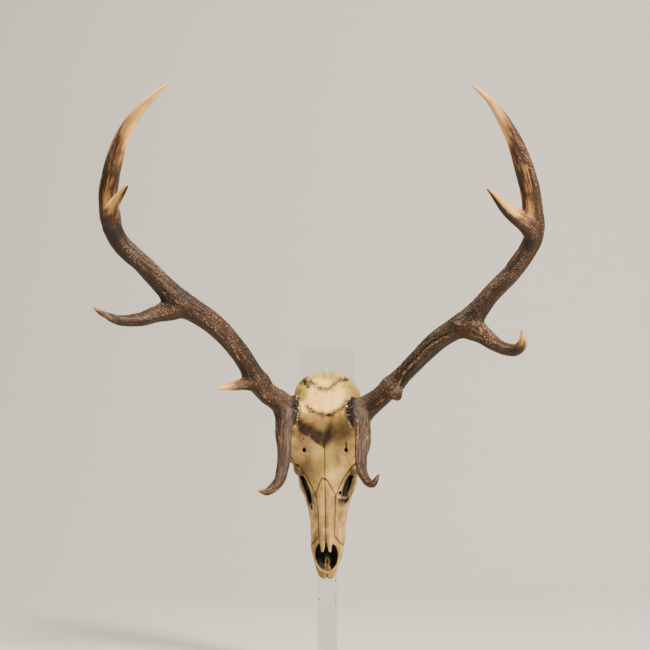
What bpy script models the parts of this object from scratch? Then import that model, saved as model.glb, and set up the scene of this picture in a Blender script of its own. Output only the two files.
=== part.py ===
"""Red deer antlers on the upper skull, held upright by a clear stand. Metres, +Z up.

The skull hangs nose down and faces -Y, so +X is the animal's left side. The origin is the middle
of the foot's underside. Sizes in the tables are in millimetres.
"""

import math

import bmesh
import bpy
from mathutils import Matrix, Vector

MM = 0.001
GAP = 0.0003  # clearance between pieces that touch

# Where the skull hangs: the height of the muzzle's tip, and the front of the plate behind it
NOSE_TIP_Z = 170 * MM
PLATE_FACE_Y = 140 * MM

# Stand
PLATE_THICK = 6 * MM
PLATE_WIDTH = 100 * MM
PLATE_BOTTOM_Z = 345 * MM
PLATE_TOP_Z = 610 * MM
PLATE_CORNER = 6 * MM
STRIP_WIDTH = 38 * MM
FOOT_SIZE = Vector((340, 400, 14)) * MM
FOOT_CORNER = 18 * MM
FOOT_SLOT_DEPTH = 9 * MM
HOOK_WIRE = 1.1 * MM
HOOK_SIDE = 3 * MM

# Cross sections of the skull, each: height above the muzzle's tip, depth of the upper surface in
# front of the plate, half width of the flat top, half width and depth at the widest place, half
# width of the base, depth of the base
SKULL_SECTIONS = (
    (0, 22, 4, 10, 18, 7, 13),
    (10, 27, 8, 15.5, 19, 10.5, 12),
    (38, 42, 15, 26.5, 24, 20, 12),
    (62, 54, 15, 31, 26, 23, 13),
    (84, 67, 13, 33, 28, 25, 13),
    (120, 75, 14, 35, 32, 29, 12),
    (160, 85, 17, 44, 42, 36, 12),
    (198, 95, 26, 55, 54, 42, 13),
    (235, 103, 40, 61, 72, 40, 17),
    (270, 111, 46, 58, 82, 32, 34),
    (308, 119, 40, 51, 86, 28, 44),
    (338, 117, 36, 50, 80, 32, 44),
    (368, 103, 28, 47, 72, 34, 44),
    (388, 88, 18, 36, 66, 26, 46),
    (396, 80, 8, 20, 66, 12, 54),
)
SECTION_POINTS = 24
SECTION_STEP = 5

# Solid forms that are joined to the skull on both sides, each: side, height, depth, half sizes
SKULL_LUMPS = (
    ("condyle", (16, 383, 42), (10, 11, 13)),
    ("bulla", (24, 342, 38), (11, 17, 13)),
    ("cheek", (44, 196, 42), (12, 32, 12)),
    ("brow", (52, 254, 95), (23, 29, 13)),
    ("postorbital process", (58, 286, 90), (17, 15, 11)),
    ("lacrimal", (50, 216, 70), (13, 16, 22)),
    ("ear hole", (55, 344, 58), (9, 12, 10)),
)

# Bars of bone on both sides, each a run of: side, height, depth, radius
SKULL_BARS = {
    "orbit": (
        (62, 229, 62, 6.5),
        (67, 234, 83, 6.5),
        (74, 250, 94, 6.5),
        (76, 266, 88, 6.5),
        (77, 274, 68, 6.5),
        (76, 266, 52, 6.5),
        (71, 245, 46, 7),
        (62, 230, 50, 7),
    ),
    "zygomatic arch": (
        (44, 186, 36, 9.5),
        (50, 206, 40, 8.5),
        (58, 222, 44, 8),
        (68, 244, 46, 7.5),
        (75, 276, 48, 7),
        (71, 310, 54, 7),
        (54, 338, 60, 9),
    ),
    "nuchal ridge": (
        (0, 391, 88, 6.5),
        (22, 389.5, 86, 6.5),
        (38, 380, 80, 7),
        (51, 367, 72, 7.5),
        (56, 351, 62, 8),
    ),
    "jugular process": ((40, 358, 62, 12), (39, 356, 38, 9), (35, 352, 20, 6.5), (33, 349, 7, 4.5)),
    "pterygoid": ((17, 240, 22, 5), (17, 268, 24, 5), (17, 300, 40, 6)),
    "muzzle rim": ((11, 6, 19, 5.5), (15.5, 20, 24, 5.5), (21.5, 42, 33, 5), (26, 66, 45, 5.5), (22, 100, 58, 5)),
}

# Hollows cut on both sides, each: side, height, depth, half sizes, lean of the long axis outwards
SIDE_HOLLOWS = (
    ("orbit", (80, 250, 70), (32, 19, 19), 0),
    ("antorbital gap", (38, 176, 68), (7, 33, 15), 14),
    ("tear pit", (59, 199, 62), (8, 13, 8), 14),
    ("temple", (72, 316, 74), (17, 29, 20), -10),
    ("upper foramen", (39, 252, 106), (3.5, 5, 8), 0),
    ("cheek foramen", (38, 124, 42), (7, 7, 5), 0),
)

# Hollows cut on the middle line
MIDDLE_HOLLOWS = (
    ("nose opening", (0, 45, 47), (22.5, 37, 30)),
    ("nose passage", (0, 95, 44), (17, 60, 16)),
    ("muzzle slit", (0, 6, 20), (3.5, 16, 20)),
    ("palate", (0, 150, 2), (26, 110, 18)),
    ("throat", (0, 278, 22), (13, 34, 24)),
    ("spinal opening", (0, 385, 62), (14, 44, 12)),
)

# Thin bones that stand free inside or over the nose opening, on both sides
NOSE_BARS = {
    "nasal tip": ((7.5, 104, 69, 6), (7, 82, 64, 5.5), (6.5, 64, 58, 3.5), (7.5, 58, 55, 2.5)),
    "muzzle rod": ((3.6, 4, 19, 3), (3.6, 22, 26, 2.6), (3.4, 40, 28, 2.6), (3, 60, 22, 3)),
}

# A thin bridge of bone over the antorbital gap, on the left side alone
GAP_BRIDGE = ((19, 163, 83, 3), (28, 161, 76, 2.8), (38, 160, 66, 3))

# Where each pedicle grows out of the forehead: side, height, depth
PEDICLE_ROOT = (24, 310, 92)

# Skull mesh: fineness of the joined form, and how far it is thinned for the finished solid
BONE_VOXEL = 3.5 * MM
BONE_KEEP = 0.041

# Teeth of one side: height, side, length along the jaw, width, lobes
TEETH = (
    ("premolar_1", 138, 26.5, 12, 12, 1),
    ("premolar_2", 152, 29.0, 13, 14, 1),
    ("premolar_3", 166, 31.5, 13, 15, 1),
    ("molar_1", 182, 34.0, 17, 17, 2),
    ("molar_2", 201, 36.5, 19, 18, 2),
    ("molar_3", 221, 38.0, 19, 17, 2),
)
TOOTH_HEIGHT = 26 * MM
TOOTH_TIP = 0.5 * MM  # distance from the plate

# The skull hangs turned a little to its right: how far each place behind the upper surface moves to
# its left, as a share of how far behind it lies
SKULL_TURN = 0.052

# Antlers: burr centres, the direction in which each antler leaves the skull, and the branches as
# runs of x, y, z and radius
BURR_RADIUS = 21.5 * MM
BURR_THICK = 6.5 * MM
BURR_PEARLS = 15
BURR_SIDES = 6
RIGHT_BURR = Vector((-53, 2, 496)) * MM
RIGHT_LEAVES = Vector((-0.96, -0.23, 0.12)).normalized()
LEFT_BURR = Vector((49, 5, 493)) * MM
LEFT_LEAVES = Vector((0.96, -0.23, 0.12)).normalized()

RIGHT_ANTLER = {
    "beam": (
        (-50, 3, 494, 20.5),
        (-66, -3, 499, 21),
        (-84, -17, 516, 20.8),
        (-110.5, -38, 538.5, 19),
        (-150, -76, 604, 17.7),
        (-192, -112, 654.5, 19.4),
        (-251, -156, 698.5, 20.2),
        (-306, -193, 756, 17.6),
        (-352, -224, 806, 17.3),
        (-365, -253, 867, 16.6),
        (-355, -279, 919, 16.2),
        (-334, -307, 973, 13.7),
        (-303, -329, 1017, 9.8),
        (-273, -344, 1045, 6.2),
        (-247, -353, 1064, 1.8),
    ),
    "brow_tine": (
        (-68, -6, 500, 20),
        (-73, -43, 459, 15.5),
        (-69, -90, 420, 12.8),
        (-73, -140, 380, 10.3),
        (-92, -167, 360, 7.1),
        (-110, -180, 362, 2),
    ),
    "bez_tine": ((-112, -46, 555, 16), (-145, -67, 546, 10), (-167, -84, 543, 7.4), (-193, -102, 540, 1.8)),
    "trez_tine": (
        (-250, -152, 688, 19),
        (-268, -161, 681, 18.5),
        (-290, -172, 674.5, 15),
        (-317, -190, 665, 12.5),
        (-350, -213, 663, 9.7),
        (-375, -230, 673, 6.1),
        (-392, -243, 685, 1.8),
    ),
    "crown_tine": (
        (-364, -236, 828, 14),
        (-360, -252, 843, 12.5),
        (-355, -268, 854, 10.5),
        (-347, -285, 867, 8.8),
        (-333, -305, 883, 6.2),
        (-320, -331, 893, 2.2),
    ),
}
RIGHT_FORK = (Vector((-361, -236, 838)) * MM, Vector((-0.22, -0.44, 0.87)))

LEFT_ANTLER = {
    "beam": (
        (46, 7, 491, 20.5),
        (66, 1, 496.5, 20.8),
        (88, -8, 510, 20.3),
        (116, -30, 533.5, 17.9),
        (159.5, -68, 578.5, 16.6),
        (209, -106, 627.5, 18.6),
        (265, -142, 666.5, 19.5),
        (302, -166, 709, 16.1),
        (346, -190, 757.5, 16.5),
        (375, -211, 811, 16.6),
        (371, -236, 866, 17.4),
        (357, -264, 921, 17.2),
        (334, -291, 977, 13),
        (300, -316, 1030, 8),
        (265, -333, 1061, 1.8),
    ),
    "brow_tine": (
        (66, -2, 500, 20),
        (72, -36, 463, 14.8),
        (70, -84, 425, 11.8),
        (75, -130, 389, 9.2),
        (92, -159, 373, 7.2),
        (105, -181, 392, 2),
    ),
    "trez_tine": (
        (257, -142, 651, 20),
        (284, -157, 640, 17.5),
        (314, -182, 618, 12.6),
        (339, -209, 611, 11.2),
        (353, -232, 621, 8.8),
        (353, -250, 648, 2),
    ),
    "crown_tine": (
        (374, -214, 807, 14),
        (365, -230, 824, 15),
        (346, -246, 839, 14),
        (328, -262, 853, 12),
        (311, -277, 870, 8.3),
        (292, -293, 887, 2.2),
    ),
}
LEFT_FORK = (Vector((375, -221, 832)) * MM, Vector((0.12, -0.42, 0.90)))
LEFT_KNOB = ((118, -42, 546, 15), (130, -58, 532, 13.5), (137, -69, 525, 9))

BEAM_SIDES = 12
BEAM_RIDGE = 0.05  # how far the lengthwise ridges stand above the grooves, as a share of the radius


def clear_scene():
    for obj in list(bpy.data.objects):
        bpy.data.objects.remove(obj, do_unlink=True)


def new_collection(name):
    collection = bpy.data.collections.new(name)
    bpy.context.scene.collection.children.link(collection)
    return collection


def material(name, color, roughness, alpha=1.0, metallic=0.0):
    made = bpy.data.materials.new(name)
    made.use_nodes = True
    shader = made.node_tree.nodes["Principled BSDF"]
    shader.inputs["Base Color"].default_value = (*color, 1)
    shader.inputs["Roughness"].default_value = roughness
    shader.inputs["Metallic"].default_value = metallic
    shader.inputs["Alpha"].default_value = alpha
    return made


def mesh_object(name, bm, collection, finish=None):
    """Puts the finished bmesh into a named object, with its faces turned out."""
    bmesh.ops.recalc_face_normals(bm, faces=bm.faces)
    mesh = bpy.data.meshes.new(name)
    bm.to_mesh(mesh)
    bm.free()
    obj = bpy.data.objects.new(name, mesh)
    collection.objects.link(obj)
    if finish:
        mesh.materials.append(finish)
        mesh.shade_smooth()
        mesh.set_sharp_from_angle(angle=math.radians(50))
    return obj


def as_cutter(obj):
    obj.hide_render = True
    obj.display_type = "WIRE"
    return obj


def boolean(obj, operation, other):
    """Adds a Boolean with one object, or with every object of a collection."""
    step = obj.modifiers.new(operation.lower(), "BOOLEAN")
    step.operation = operation
    step.solver = "EXACT"
    if isinstance(other, bpy.types.Collection):
        step.operand_type = "COLLECTION"
        step.collection = other
    else:
        step.object = other
    return step


def baked(obj):
    """Applies the object's modifiers to its own mesh."""
    graph = bpy.context.evaluated_depsgraph_get()
    graph.update()
    mesh = bpy.data.meshes.new_from_object(obj.evaluated_get(graph))
    obj.modifiers.clear()
    obj.data = mesh
    return obj


def skull_point(side, height, depth):
    """A place on the skull, from millimetres off the middle line, above the muzzle, off the plate."""
    turned = side + SKULL_TURN * (upper_surface(height) - depth)
    return Vector((turned * MM, PLATE_FACE_Y - depth * MM, NOSE_TIP_Z + height * MM))


def upper_surface(height):
    """Depth of the upper surface on the middle line, straight from row to row of the sections."""
    rows = [row[:2] for row in SKULL_SECTIONS]
    for (low, low_top), (high, high_top) in zip(rows, rows[1:]):
        if height <= high:
            share = max(0, (height - low) / (high - low))
            return low_top + share * (high_top - low_top)
    return rows[-1][1]


def smooth_between(values, t):
    """Catmull-Rom through a list of equal-length rows, at t measured in rows."""
    i = min(int(t), len(values) - 2)
    u = t - i
    before = values[max(i - 1, 0)]
    start = values[i]
    end = values[i + 1]
    after = values[min(i + 2, len(values) - 1)]
    return [
        0.5 * (2 * b + (c - a) * u + (2 * a - 5 * b + 4 * c - d) * u**2 + (3 * b - a - 3 * c + d) * u**3)
        for a, b, c, d in zip(before, start, end, after)
    ]


def section_ring(section):
    """The closed outline of one cross section, symmetric about the middle line."""
    height, top, top_half, wide, wide_depth, base_half, base = section
    half = [(0, top), (top_half, top - 2), (wide, wide_depth), (base_half, base)]
    corners = half + [(0, base + 2)] + [(-x, depth) for x, depth in reversed(half[1:])]
    closed = corners[-1:] + corners + corners[:2]
    ring = []
    for k in range(SECTION_POINTS):
        t = 1 + k * len(corners) / SECTION_POINTS
        side, depth = smooth_between(closed, t)
        ring.append(skull_point(side, height, depth))
    return ring


def skull_loft(bm):
    """The long body of the skull, from the muzzle's tip to the back of the head."""
    heights = [row[0] for row in SKULL_SECTIONS]
    rings = []
    for i in range(len(heights) - 1):
        steps = max(1, round((heights[i + 1] - heights[i]) / SECTION_STEP))
        rings += [smooth_between(SKULL_SECTIONS, i + k / steps) for k in range(steps)]
    rings.append(SKULL_SECTIONS[-1])
    loops = [[bm.verts.new(point) for point in section_ring(row)] for row in rings]
    for lower, upper in zip(loops, loops[1:]):
        for k in range(SECTION_POINTS):
            after = (k + 1) % SECTION_POINTS
            bm.faces.new((lower[k], lower[after], upper[after], upper[k]))
    bm.faces.new(reversed(loops[0]))
    bm.faces.new(loops[-1])


def ellipsoid(bm, center, half_sizes, lean=0.0):
    """An egg shape on the skull; lean turns its upper end away from the middle line, in degrees."""
    side, height, depth = half_sizes
    away = 1 if center[0] >= 0 else -1
    place = (
        Matrix.Translation(skull_point(*center))
        @ Matrix.Rotation(math.radians(lean) * away, 4, "Y")
        @ Matrix.Diagonal(Vector((side, depth, height, 1 / MM)) * MM)
    )
    bmesh.ops.create_uvsphere(bm, u_segments=16, v_segments=10, radius=1, matrix=place)


def curve_mesh(name, points, resolution, profile=None, sides=8, extra=0.0):
    """A closed tube mesh along a smooth curve whose points each have a radius, all in metres."""
    curve = bpy.data.curves.new(name, "CURVE")
    curve.dimensions = "3D"
    curve.resolution_u = resolution
    curve.use_fill_caps = True
    if profile:
        curve.bevel_mode = "OBJECT"
        curve.bevel_object = profile
    else:
        curve.bevel_depth = 1
        curve.bevel_resolution = max(0, sides // 2 - 2)
    spline = curve.splines.new("BEZIER")
    spline.bezier_points.add(len(points) - 1)
    for handle, (x, y, z, radius) in zip(spline.bezier_points, points):
        handle.co = (x, y, z)
        handle.radius = radius + extra
        handle.handle_left_type = "AUTO"
        handle.handle_right_type = "AUTO"
    holder = bpy.data.objects.new(name, curve)
    bpy.context.scene.collection.objects.link(holder)
    graph = bpy.context.evaluated_depsgraph_get()
    graph.update()
    mesh = bpy.data.meshes.new_from_object(holder.evaluated_get(graph))
    bpy.data.objects.remove(holder, do_unlink=True)
    bm = bmesh.new()
    bm.from_mesh(mesh)
    bmesh.ops.remove_doubles(bm, verts=bm.verts, dist=0.00002)
    bmesh.ops.recalc_face_normals(bm, faces=bm.faces)
    return bm


def add_bar(bm, bar, away):
    """Joins a bar of bone to the skull's mesh, on the given side."""
    points = []
    for side, height, depth, radius in bar:
        points.append((*skull_point(side * away, height, depth), radius * MM))
    tube = curve_mesh("bar", points, 4, sides=10)
    mesh = bpy.data.meshes.new("bar")
    tube.to_mesh(mesh)
    tube.free()
    bm.from_mesh(mesh)
    bpy.data.meshes.remove(mesh)


def cone_between(bm, start, end, start_radius, end_radius, segments=24):
    along = end - start
    place = Matrix.Translation((start + end) / 2) @ along.to_track_quat("Z", "Y").to_matrix().to_4x4()
    bmesh.ops.create_cone(
        bm,
        cap_ends=True,
        segments=segments,
        radius1=start_radius,
        radius2=end_radius,
        depth=along.length,
        matrix=place,
    )


def skull_body():
    """Everything that is bone, as overlapping closed shapes in one mesh."""
    bm = bmesh.new()
    skull_loft(bm)
    for away in (-1, 1):
        for _, (side, height, depth), half_sizes in SKULL_LUMPS:
            ellipsoid(bm, (side * away, height, depth), half_sizes)
        for bar in SKULL_BARS.values():
            add_bar(bm, bar, away)
    for away, burr, leaves in ((-1, RIGHT_BURR, RIGHT_LEAVES), (1, LEFT_BURR, LEFT_LEAVES)):
        root = skull_point(PEDICLE_ROOT[0] * away, *PEDICLE_ROOT[1:])
        cone_between(bm, root, burr + leaves * 4 * MM, 30 * MM, 20 * MM)
    return bm


def nose_bars():
    bm = bmesh.new()
    for away in (-1, 1):
        for bar in NOSE_BARS.values():
            add_bar(bm, bar, away)
    add_bar(bm, GAP_BRIDGE, 1)
    return bm


def hollow_cutters(collection):
    for name, center, half_sizes in MIDDLE_HOLLOWS:
        bm = bmesh.new()
        ellipsoid(bm, center, half_sizes)
        as_cutter(mesh_object(name, bm, collection))
    for name, (side, height, depth), half_sizes, lean in SIDE_HOLLOWS:
        for away, hand in ((-1, "right"), (1, "left")):
            bm = bmesh.new()
            ellipsoid(bm, (side * away, height, depth), half_sizes, lean)
            as_cutter(mesh_object(f"{hand} {name}", bm, collection))


def burr_seat(collection, name, burr, leaves):
    """A disc that trims the pedicle flat under the antler's burr."""
    bm = bmesh.new()
    cone_between(bm, burr - leaves * GAP, burr + leaves * 40 * MM, 33 * MM, 33 * MM)
    return as_cutter(mesh_object(name, bm, collection))


def tooth_mesh(height, side, length, width, lobes, extra=0.0):
    """A cheek tooth: a prism of one or two lobes with a shallow dish worn into its crown."""
    bm = bmesh.new()
    corners = 8 + 2 * lobes
    root_depth = TOOTH_TIP + TOOTH_HEIGHT + extra
    rows = ((root_depth, 0.92), (TOOTH_TIP + 3 * MM, 1.0), (TOOTH_TIP, 0.86), (TOOTH_TIP + 2 * MM, 0.4))
    loops = []
    for depth, share in rows:
        loop = []
        for k in range(corners):
            turn = 2 * math.pi * (k + 0.5) / corners
            along = math.sin(turn) * length / 2
            waist = 1 - 0.25 * (lobes - 1) * math.exp(-((along / (0.16 * length)) ** 2))
            across = math.copysign(abs(math.cos(turn)) ** 0.6, math.cos(turn)) * width / 2 * waist
            grown = 1 + 2 * extra / (width * MM)
            place = skull_point(side + across * share * grown, height + along * share * grown, depth / MM)
            loop.append(bm.verts.new(place))
        loops.append(loop)
    for before, after in zip(loops, loops[1:]):
        for k in range(corners):
            other = (k + 1) % corners
            bm.faces.new((before[k], before[other], after[other], after[k]))
    bm.faces.new(loops[0])
    bm.faces.new(loops[-1])
    return bm


def build_teeth(parts, cutters, finish):
    sockets = bpy.data.collections.new("tooth sockets")
    cutters.children.link(sockets)
    for away, hand in ((-1, "right"), (1, "left")):
        for name, height, side, length, width, lobes in TEETH:
            shape = (height, side * away, length, width, lobes)
            mesh_object(f"{hand}_{name}", tooth_mesh(*shape), parts, finish)
            as_cutter(mesh_object(f"{hand} {name} socket", tooth_mesh(*shape, extra=GAP), sockets))
    return sockets


def build_skull(parts, cutters, sockets, finish):
    hollows = bpy.data.collections.new("hollows")
    seats = bpy.data.collections.new("burr seats")
    cutters.children.link(hollows)
    cutters.children.link(seats)
    hollow_cutters(hollows)
    burr_seat(seats, "right burr seat", RIGHT_BURR, RIGHT_LEAVES)
    burr_seat(seats, "left burr seat", LEFT_BURR, LEFT_LEAVES)

    skull = mesh_object("skull", skull_body(), parts, finish)
    remesh(skull, BONE_VOXEL)
    smooth(skull, 6)
    boolean(skull, "DIFFERENCE", hollows)
    baked(skull)
    bars = nose_bars()
    bars.from_mesh(skull.data)
    bars.to_mesh(skull.data)
    bars.free()
    remesh(skull, BONE_VOXEL * 0.7)
    smooth(skull, 3)
    thin = skull.modifiers.new("thin", "DECIMATE")
    thin.ratio = BONE_KEEP
    boolean(skull, "DIFFERENCE", seats)
    boolean(skull, "DIFFERENCE", sockets)
    baked(skull)
    keep_largest(skull)


def remesh(obj, size):
    step = obj.modifiers.new("join", "REMESH")
    step.mode = "VOXEL"
    step.voxel_size = size
    step.use_smooth_shade = True


def smooth(obj, turns):
    step = obj.modifiers.new("soften", "SMOOTH")
    step.factor = 0.5
    step.iterations = turns


def ridged_profile():
    """The beam's cross section: a circle with shallow lengthwise grooves between its ridges."""
    curve = bpy.data.curves.new("beam outline", "CURVE")
    curve.dimensions = "2D"
    curve.fill_mode = "NONE"
    spline = curve.splines.new("POLY")
    spline.points.add(BEAM_SIDES - 1)
    spline.use_cyclic_u = True
    for k, point in enumerate(spline.points):
        turn = 2 * math.pi * k / BEAM_SIDES
        reach = 1 + BEAM_RIDGE * (-1) ** k
        point.co = (reach * math.cos(turn), reach * math.sin(turn), 0, 1)
    holder = bpy.data.objects.new("beam outline", curve)
    holder.hide_render = True
    bpy.context.scene.collection.objects.link(holder)
    return holder


def in_metres(run):
    return [tuple(value * MM for value in point) for point in run]


def burr_ring(burr, leaves, extra=0.0):
    """The rough collar at the antler's foot: a ring whose edge swells into pearls."""
    bm = bmesh.new()
    turned = leaves.to_track_quat("Z", "Y").to_matrix().to_4x4()
    place = Matrix.Translation(burr + leaves * BURR_THICK * 0.7) @ turned
    around = BURR_PEARLS * 2
    rings = []
    for i in range(around):
        turn = 2 * math.pi * i / around
        swell = BURR_THICK * (1.18 if i % 2 else 0.86) + extra
        ring = []
        for k in range(BURR_SIDES):
            tilt = 2 * math.pi * k / BURR_SIDES
            reach = BURR_RADIUS + swell * math.cos(tilt)
            rise = swell * math.sin(tilt)
            ring.append(bm.verts.new(place @ Vector((reach * math.cos(turn), reach * math.sin(turn), rise))))
        rings.append(ring)
    for i in range(around):
        here, there = rings[i], rings[(i + 1) % around]
        for k in range(BURR_SIDES):
            after = (k + 1) % BURR_SIDES
            bm.faces.new((here[k], there[k], there[after], here[after]))
    return bm


def underside(burr, leaves, extra=0.0):
    """A drum that covers all that lies below the flat base of the antler."""
    bm = bmesh.new()
    cone_between(bm, burr - leaves * 40 * MM, burr + leaves * extra, 45 * MM, 45 * MM)
    return bm


def build_antler(hand, branches, burr, leaves, fork, parts, cutters, finish, outline, knob=None):
    """One antler, its beam and tines parted at the forks with a thin gap."""
    beam_run = in_metres(branches["beam"])
    beam = mesh_object(f"{hand}_antler_beam", curve_mesh("beam", beam_run, 2, outline), parts, finish)
    boolean(beam, "UNION", as_cutter(mesh_object(f"{hand} burr", burr_ring(burr, leaves), cutters)))
    if knob:
        lump = curve_mesh("knob", in_metres(knob), 3)
        boolean(beam, "UNION", as_cutter(mesh_object(f"{hand} knob", lump, cutters)))
    base = as_cutter(mesh_object(f"{hand} burr underside", underside(burr, leaves), cutters))
    boolean(beam, "DIFFERENCE", base)
    baked(beam)

    top = bpy.data.objects.new(f"{hand}_antler_top_tine", beam.data.copy())
    parts.objects.link(top)
    place, along = fork
    cut_at(beam, place - along.normalized() * GAP / 2, along)
    cut_at(top, place + along.normalized() * GAP / 2, -along)

    seats = bpy.data.collections.new(f"{hand} tine seats")
    cutters.children.link(seats)
    wider = curve_mesh("wider beam", beam_run, 2, outline, extra=GAP)
    for name, bm in (
        ("wider beam", wider),
        ("wider burr", burr_ring(burr, leaves, GAP)),
        ("wider underside", underside(burr, leaves, GAP)),
    ):
        as_cutter(mesh_object(f"{hand} {name}", bm, seats))
    for name, run in branches.items():
        if name != "beam":
            bm = curve_mesh(name, in_metres(run), 3)
            tine = mesh_object(f"{hand}_antler_{name}", bm, parts, finish)
            boolean(tine, "DIFFERENCE", seats)
            baked(tine)
            keep_largest(tine)


def cut_at(obj, place, normal):
    """Removes what lies beyond the plane on the side that the normal points to, and closes the cut."""
    bm = bmesh.new()
    bm.from_mesh(obj.data)
    everything = bm.verts[:] + bm.edges[:] + bm.faces[:]
    bmesh.ops.bisect_plane(bm, geom=everything, plane_co=place, plane_no=normal, clear_outer=True)
    bmesh.ops.holes_fill(bm, edges=[edge for edge in bm.edges if edge.is_boundary], sides=0)
    bmesh.ops.recalc_face_normals(bm, faces=bm.faces)
    bm.to_mesh(obj.data)
    bm.free()


def keep_largest(obj):
    """Drops the stub that the cut leaves on the beam's far side."""
    bm = bmesh.new()
    bm.from_mesh(obj.data)
    unseen = set(bm.verts)
    bodies = []
    while unseen:
        body = {unseen.pop()}
        edge_of_body = list(body)
        while edge_of_body:
            vert = edge_of_body.pop()
            for edge in vert.link_edges:
                other = edge.other_vert(vert)
                if other in unseen:
                    unseen.discard(other)
                    body.add(other)
                    edge_of_body.append(other)
        bodies.append(body)
    largest = max(bodies, key=len)
    bmesh.ops.delete(bm, geom=[vert for vert in bm.verts if vert not in largest], context="VERTS")
    bm.to_mesh(obj.data)
    bm.free()


def flat_outline(name, corners, corner_radius, thickness, collection, finish):
    """A flat sheet from a closed outline with rounded corners, lying in its own XY plane."""
    bm = bmesh.new()
    face = bm.faces.new([bm.verts.new((x, y, -thickness / 2)) for x, y in corners])
    raised = bmesh.ops.extrude_face_region(bm, geom=[face])
    lifted = [item for item in raised["geom"] if isinstance(item, bmesh.types.BMVert)]
    bmesh.ops.translate(bm, vec=(0, 0, thickness), verts=lifted)
    upright = [e for e in bm.edges if abs(e.verts[0].co.z - e.verts[1].co.z) > thickness / 2]
    bmesh.ops.bevel(bm, geom=upright, offset=corner_radius, segments=5, profile=0.5, affect="EDGES")
    return mesh_object(name, bm, collection, finish)


def build_stand(parts, cutters, clear, wire):
    half_plate = PLATE_WIDTH / 2
    half_strip = STRIP_WIDTH / 2
    foot_top = FOOT_SIZE.z
    strip_end = foot_top - FOOT_SLOT_DEPTH + GAP
    corners = (
        (-half_strip, strip_end),
        (half_strip, strip_end),
        (half_strip, PLATE_BOTTOM_Z),
        (half_plate, PLATE_BOTTOM_Z),
        (half_plate, PLATE_TOP_Z),
        (-half_plate, PLATE_TOP_Z),
        (-half_plate, PLATE_BOTTOM_Z),
        (-half_strip, PLATE_BOTTOM_Z),
    )
    plate = flat_outline("back_plate", corners, PLATE_CORNER * 0.5, PLATE_THICK, parts, clear)
    plate.rotation_euler.x = math.radians(90)
    plate.location.y = PLATE_FACE_Y + PLATE_THICK / 2

    half_x, half_y = FOOT_SIZE.x / 2, FOOT_SIZE.y / 2
    rectangle = ((-half_x, -half_y), (half_x, -half_y), (half_x, half_y), (-half_x, half_y))
    foot = flat_outline("foot", rectangle, FOOT_CORNER, foot_top, parts, clear)
    foot.location.z = foot_top / 2
    slot = bmesh.new()
    bmesh.ops.create_cube(slot, size=1)
    bmesh.ops.scale(
        slot, vec=(STRIP_WIDTH + 2 * GAP, PLATE_THICK + 2 * GAP, 2 * FOOT_SLOT_DEPTH), verts=slot.verts
    )
    bmesh.ops.translate(slot, vec=(0, plate.location.y, foot_top), verts=slot.verts)
    boolean(foot, "DIFFERENCE", as_cutter(mesh_object("foot slot", slot, cutters)))

    crest = skull_point(0, 397, 84)
    hook_run = (
        (PLATE_FACE_Y - GAP, crest.z + 10 * MM),
        ((PLATE_FACE_Y + crest.y) / 2, crest.z + 9 * MM),
        (crest.y - 4 * MM, crest.z + 8 * MM),
        (crest.y - 13 * MM, crest.z + 4 * MM),
        (crest.y - 15 * MM, crest.z - 5 * MM),
    )
    hook = curve_mesh("hook", [(HOOK_SIDE, y, z, HOOK_WIRE) for y, z in hook_run], 2, sides=6)
    mesh_object("wire_hook", hook, parts, wire)


def main():
    clear_scene()
    parts = new_collection("Red deer antlers")
    cutters = new_collection("Cutters")
    cutters.hide_render = True
    bone = material("bone", (0.70, 0.56, 0.36), 0.6)
    enamel = material("enamel", (0.62, 0.50, 0.34), 0.35)
    antler = material("antler", (0.13, 0.065, 0.03), 0.55)
    clear = material("clear acrylic", (0.90, 0.95, 0.93), 0.05, alpha=0.35)
    wire = material("wire", (0.75, 0.75, 0.75), 0.25, metallic=1.0)
    outline = ridged_profile()

    sockets = build_teeth(parts, cutters, enamel)
    build_skull(parts, cutters, sockets, bone)
    build_antler("right", RIGHT_ANTLER, RIGHT_BURR, RIGHT_LEAVES, RIGHT_FORK, parts, cutters, antler, outline)
    build_antler(
        "left", LEFT_ANTLER, LEFT_BURR, LEFT_LEAVES, LEFT_FORK, parts, cutters, antler, outline, LEFT_KNOB
    )
    build_stand(parts, cutters, clear, wire)


main()
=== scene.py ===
"""The looks of the red deer antlers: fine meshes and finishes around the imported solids.

Metres, +Z up. The skull faces -Y and hangs nose down, and +X is the animal's left side. Sizes in
the tables are in millimetres, and nearly all of them are the ones that the solids are built from.
"""

import itertools
import math

import bmesh
import bpy
import numpy as np
from mathutils import Matrix, Vector
from mathutils.bvhtree import BVHTree


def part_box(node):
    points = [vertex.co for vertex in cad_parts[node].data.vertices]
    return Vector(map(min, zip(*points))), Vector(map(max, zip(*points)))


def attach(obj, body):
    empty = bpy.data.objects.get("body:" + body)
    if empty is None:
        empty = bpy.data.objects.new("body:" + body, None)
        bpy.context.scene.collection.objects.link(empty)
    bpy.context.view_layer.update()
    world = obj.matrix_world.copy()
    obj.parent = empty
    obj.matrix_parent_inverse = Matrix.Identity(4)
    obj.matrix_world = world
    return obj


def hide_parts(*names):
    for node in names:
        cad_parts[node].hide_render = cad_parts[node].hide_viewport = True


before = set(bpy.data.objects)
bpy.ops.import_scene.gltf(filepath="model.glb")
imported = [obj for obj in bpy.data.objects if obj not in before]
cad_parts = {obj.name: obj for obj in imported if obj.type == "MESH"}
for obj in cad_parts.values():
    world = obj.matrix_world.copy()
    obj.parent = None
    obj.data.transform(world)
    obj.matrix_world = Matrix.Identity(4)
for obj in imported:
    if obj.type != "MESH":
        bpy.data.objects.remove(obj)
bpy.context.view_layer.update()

MM = 0.001

# Where the skull hangs
NOSE_TIP_Z = 170 * MM
PLATE_FACE_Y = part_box("back_plate")[0][1]

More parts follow.
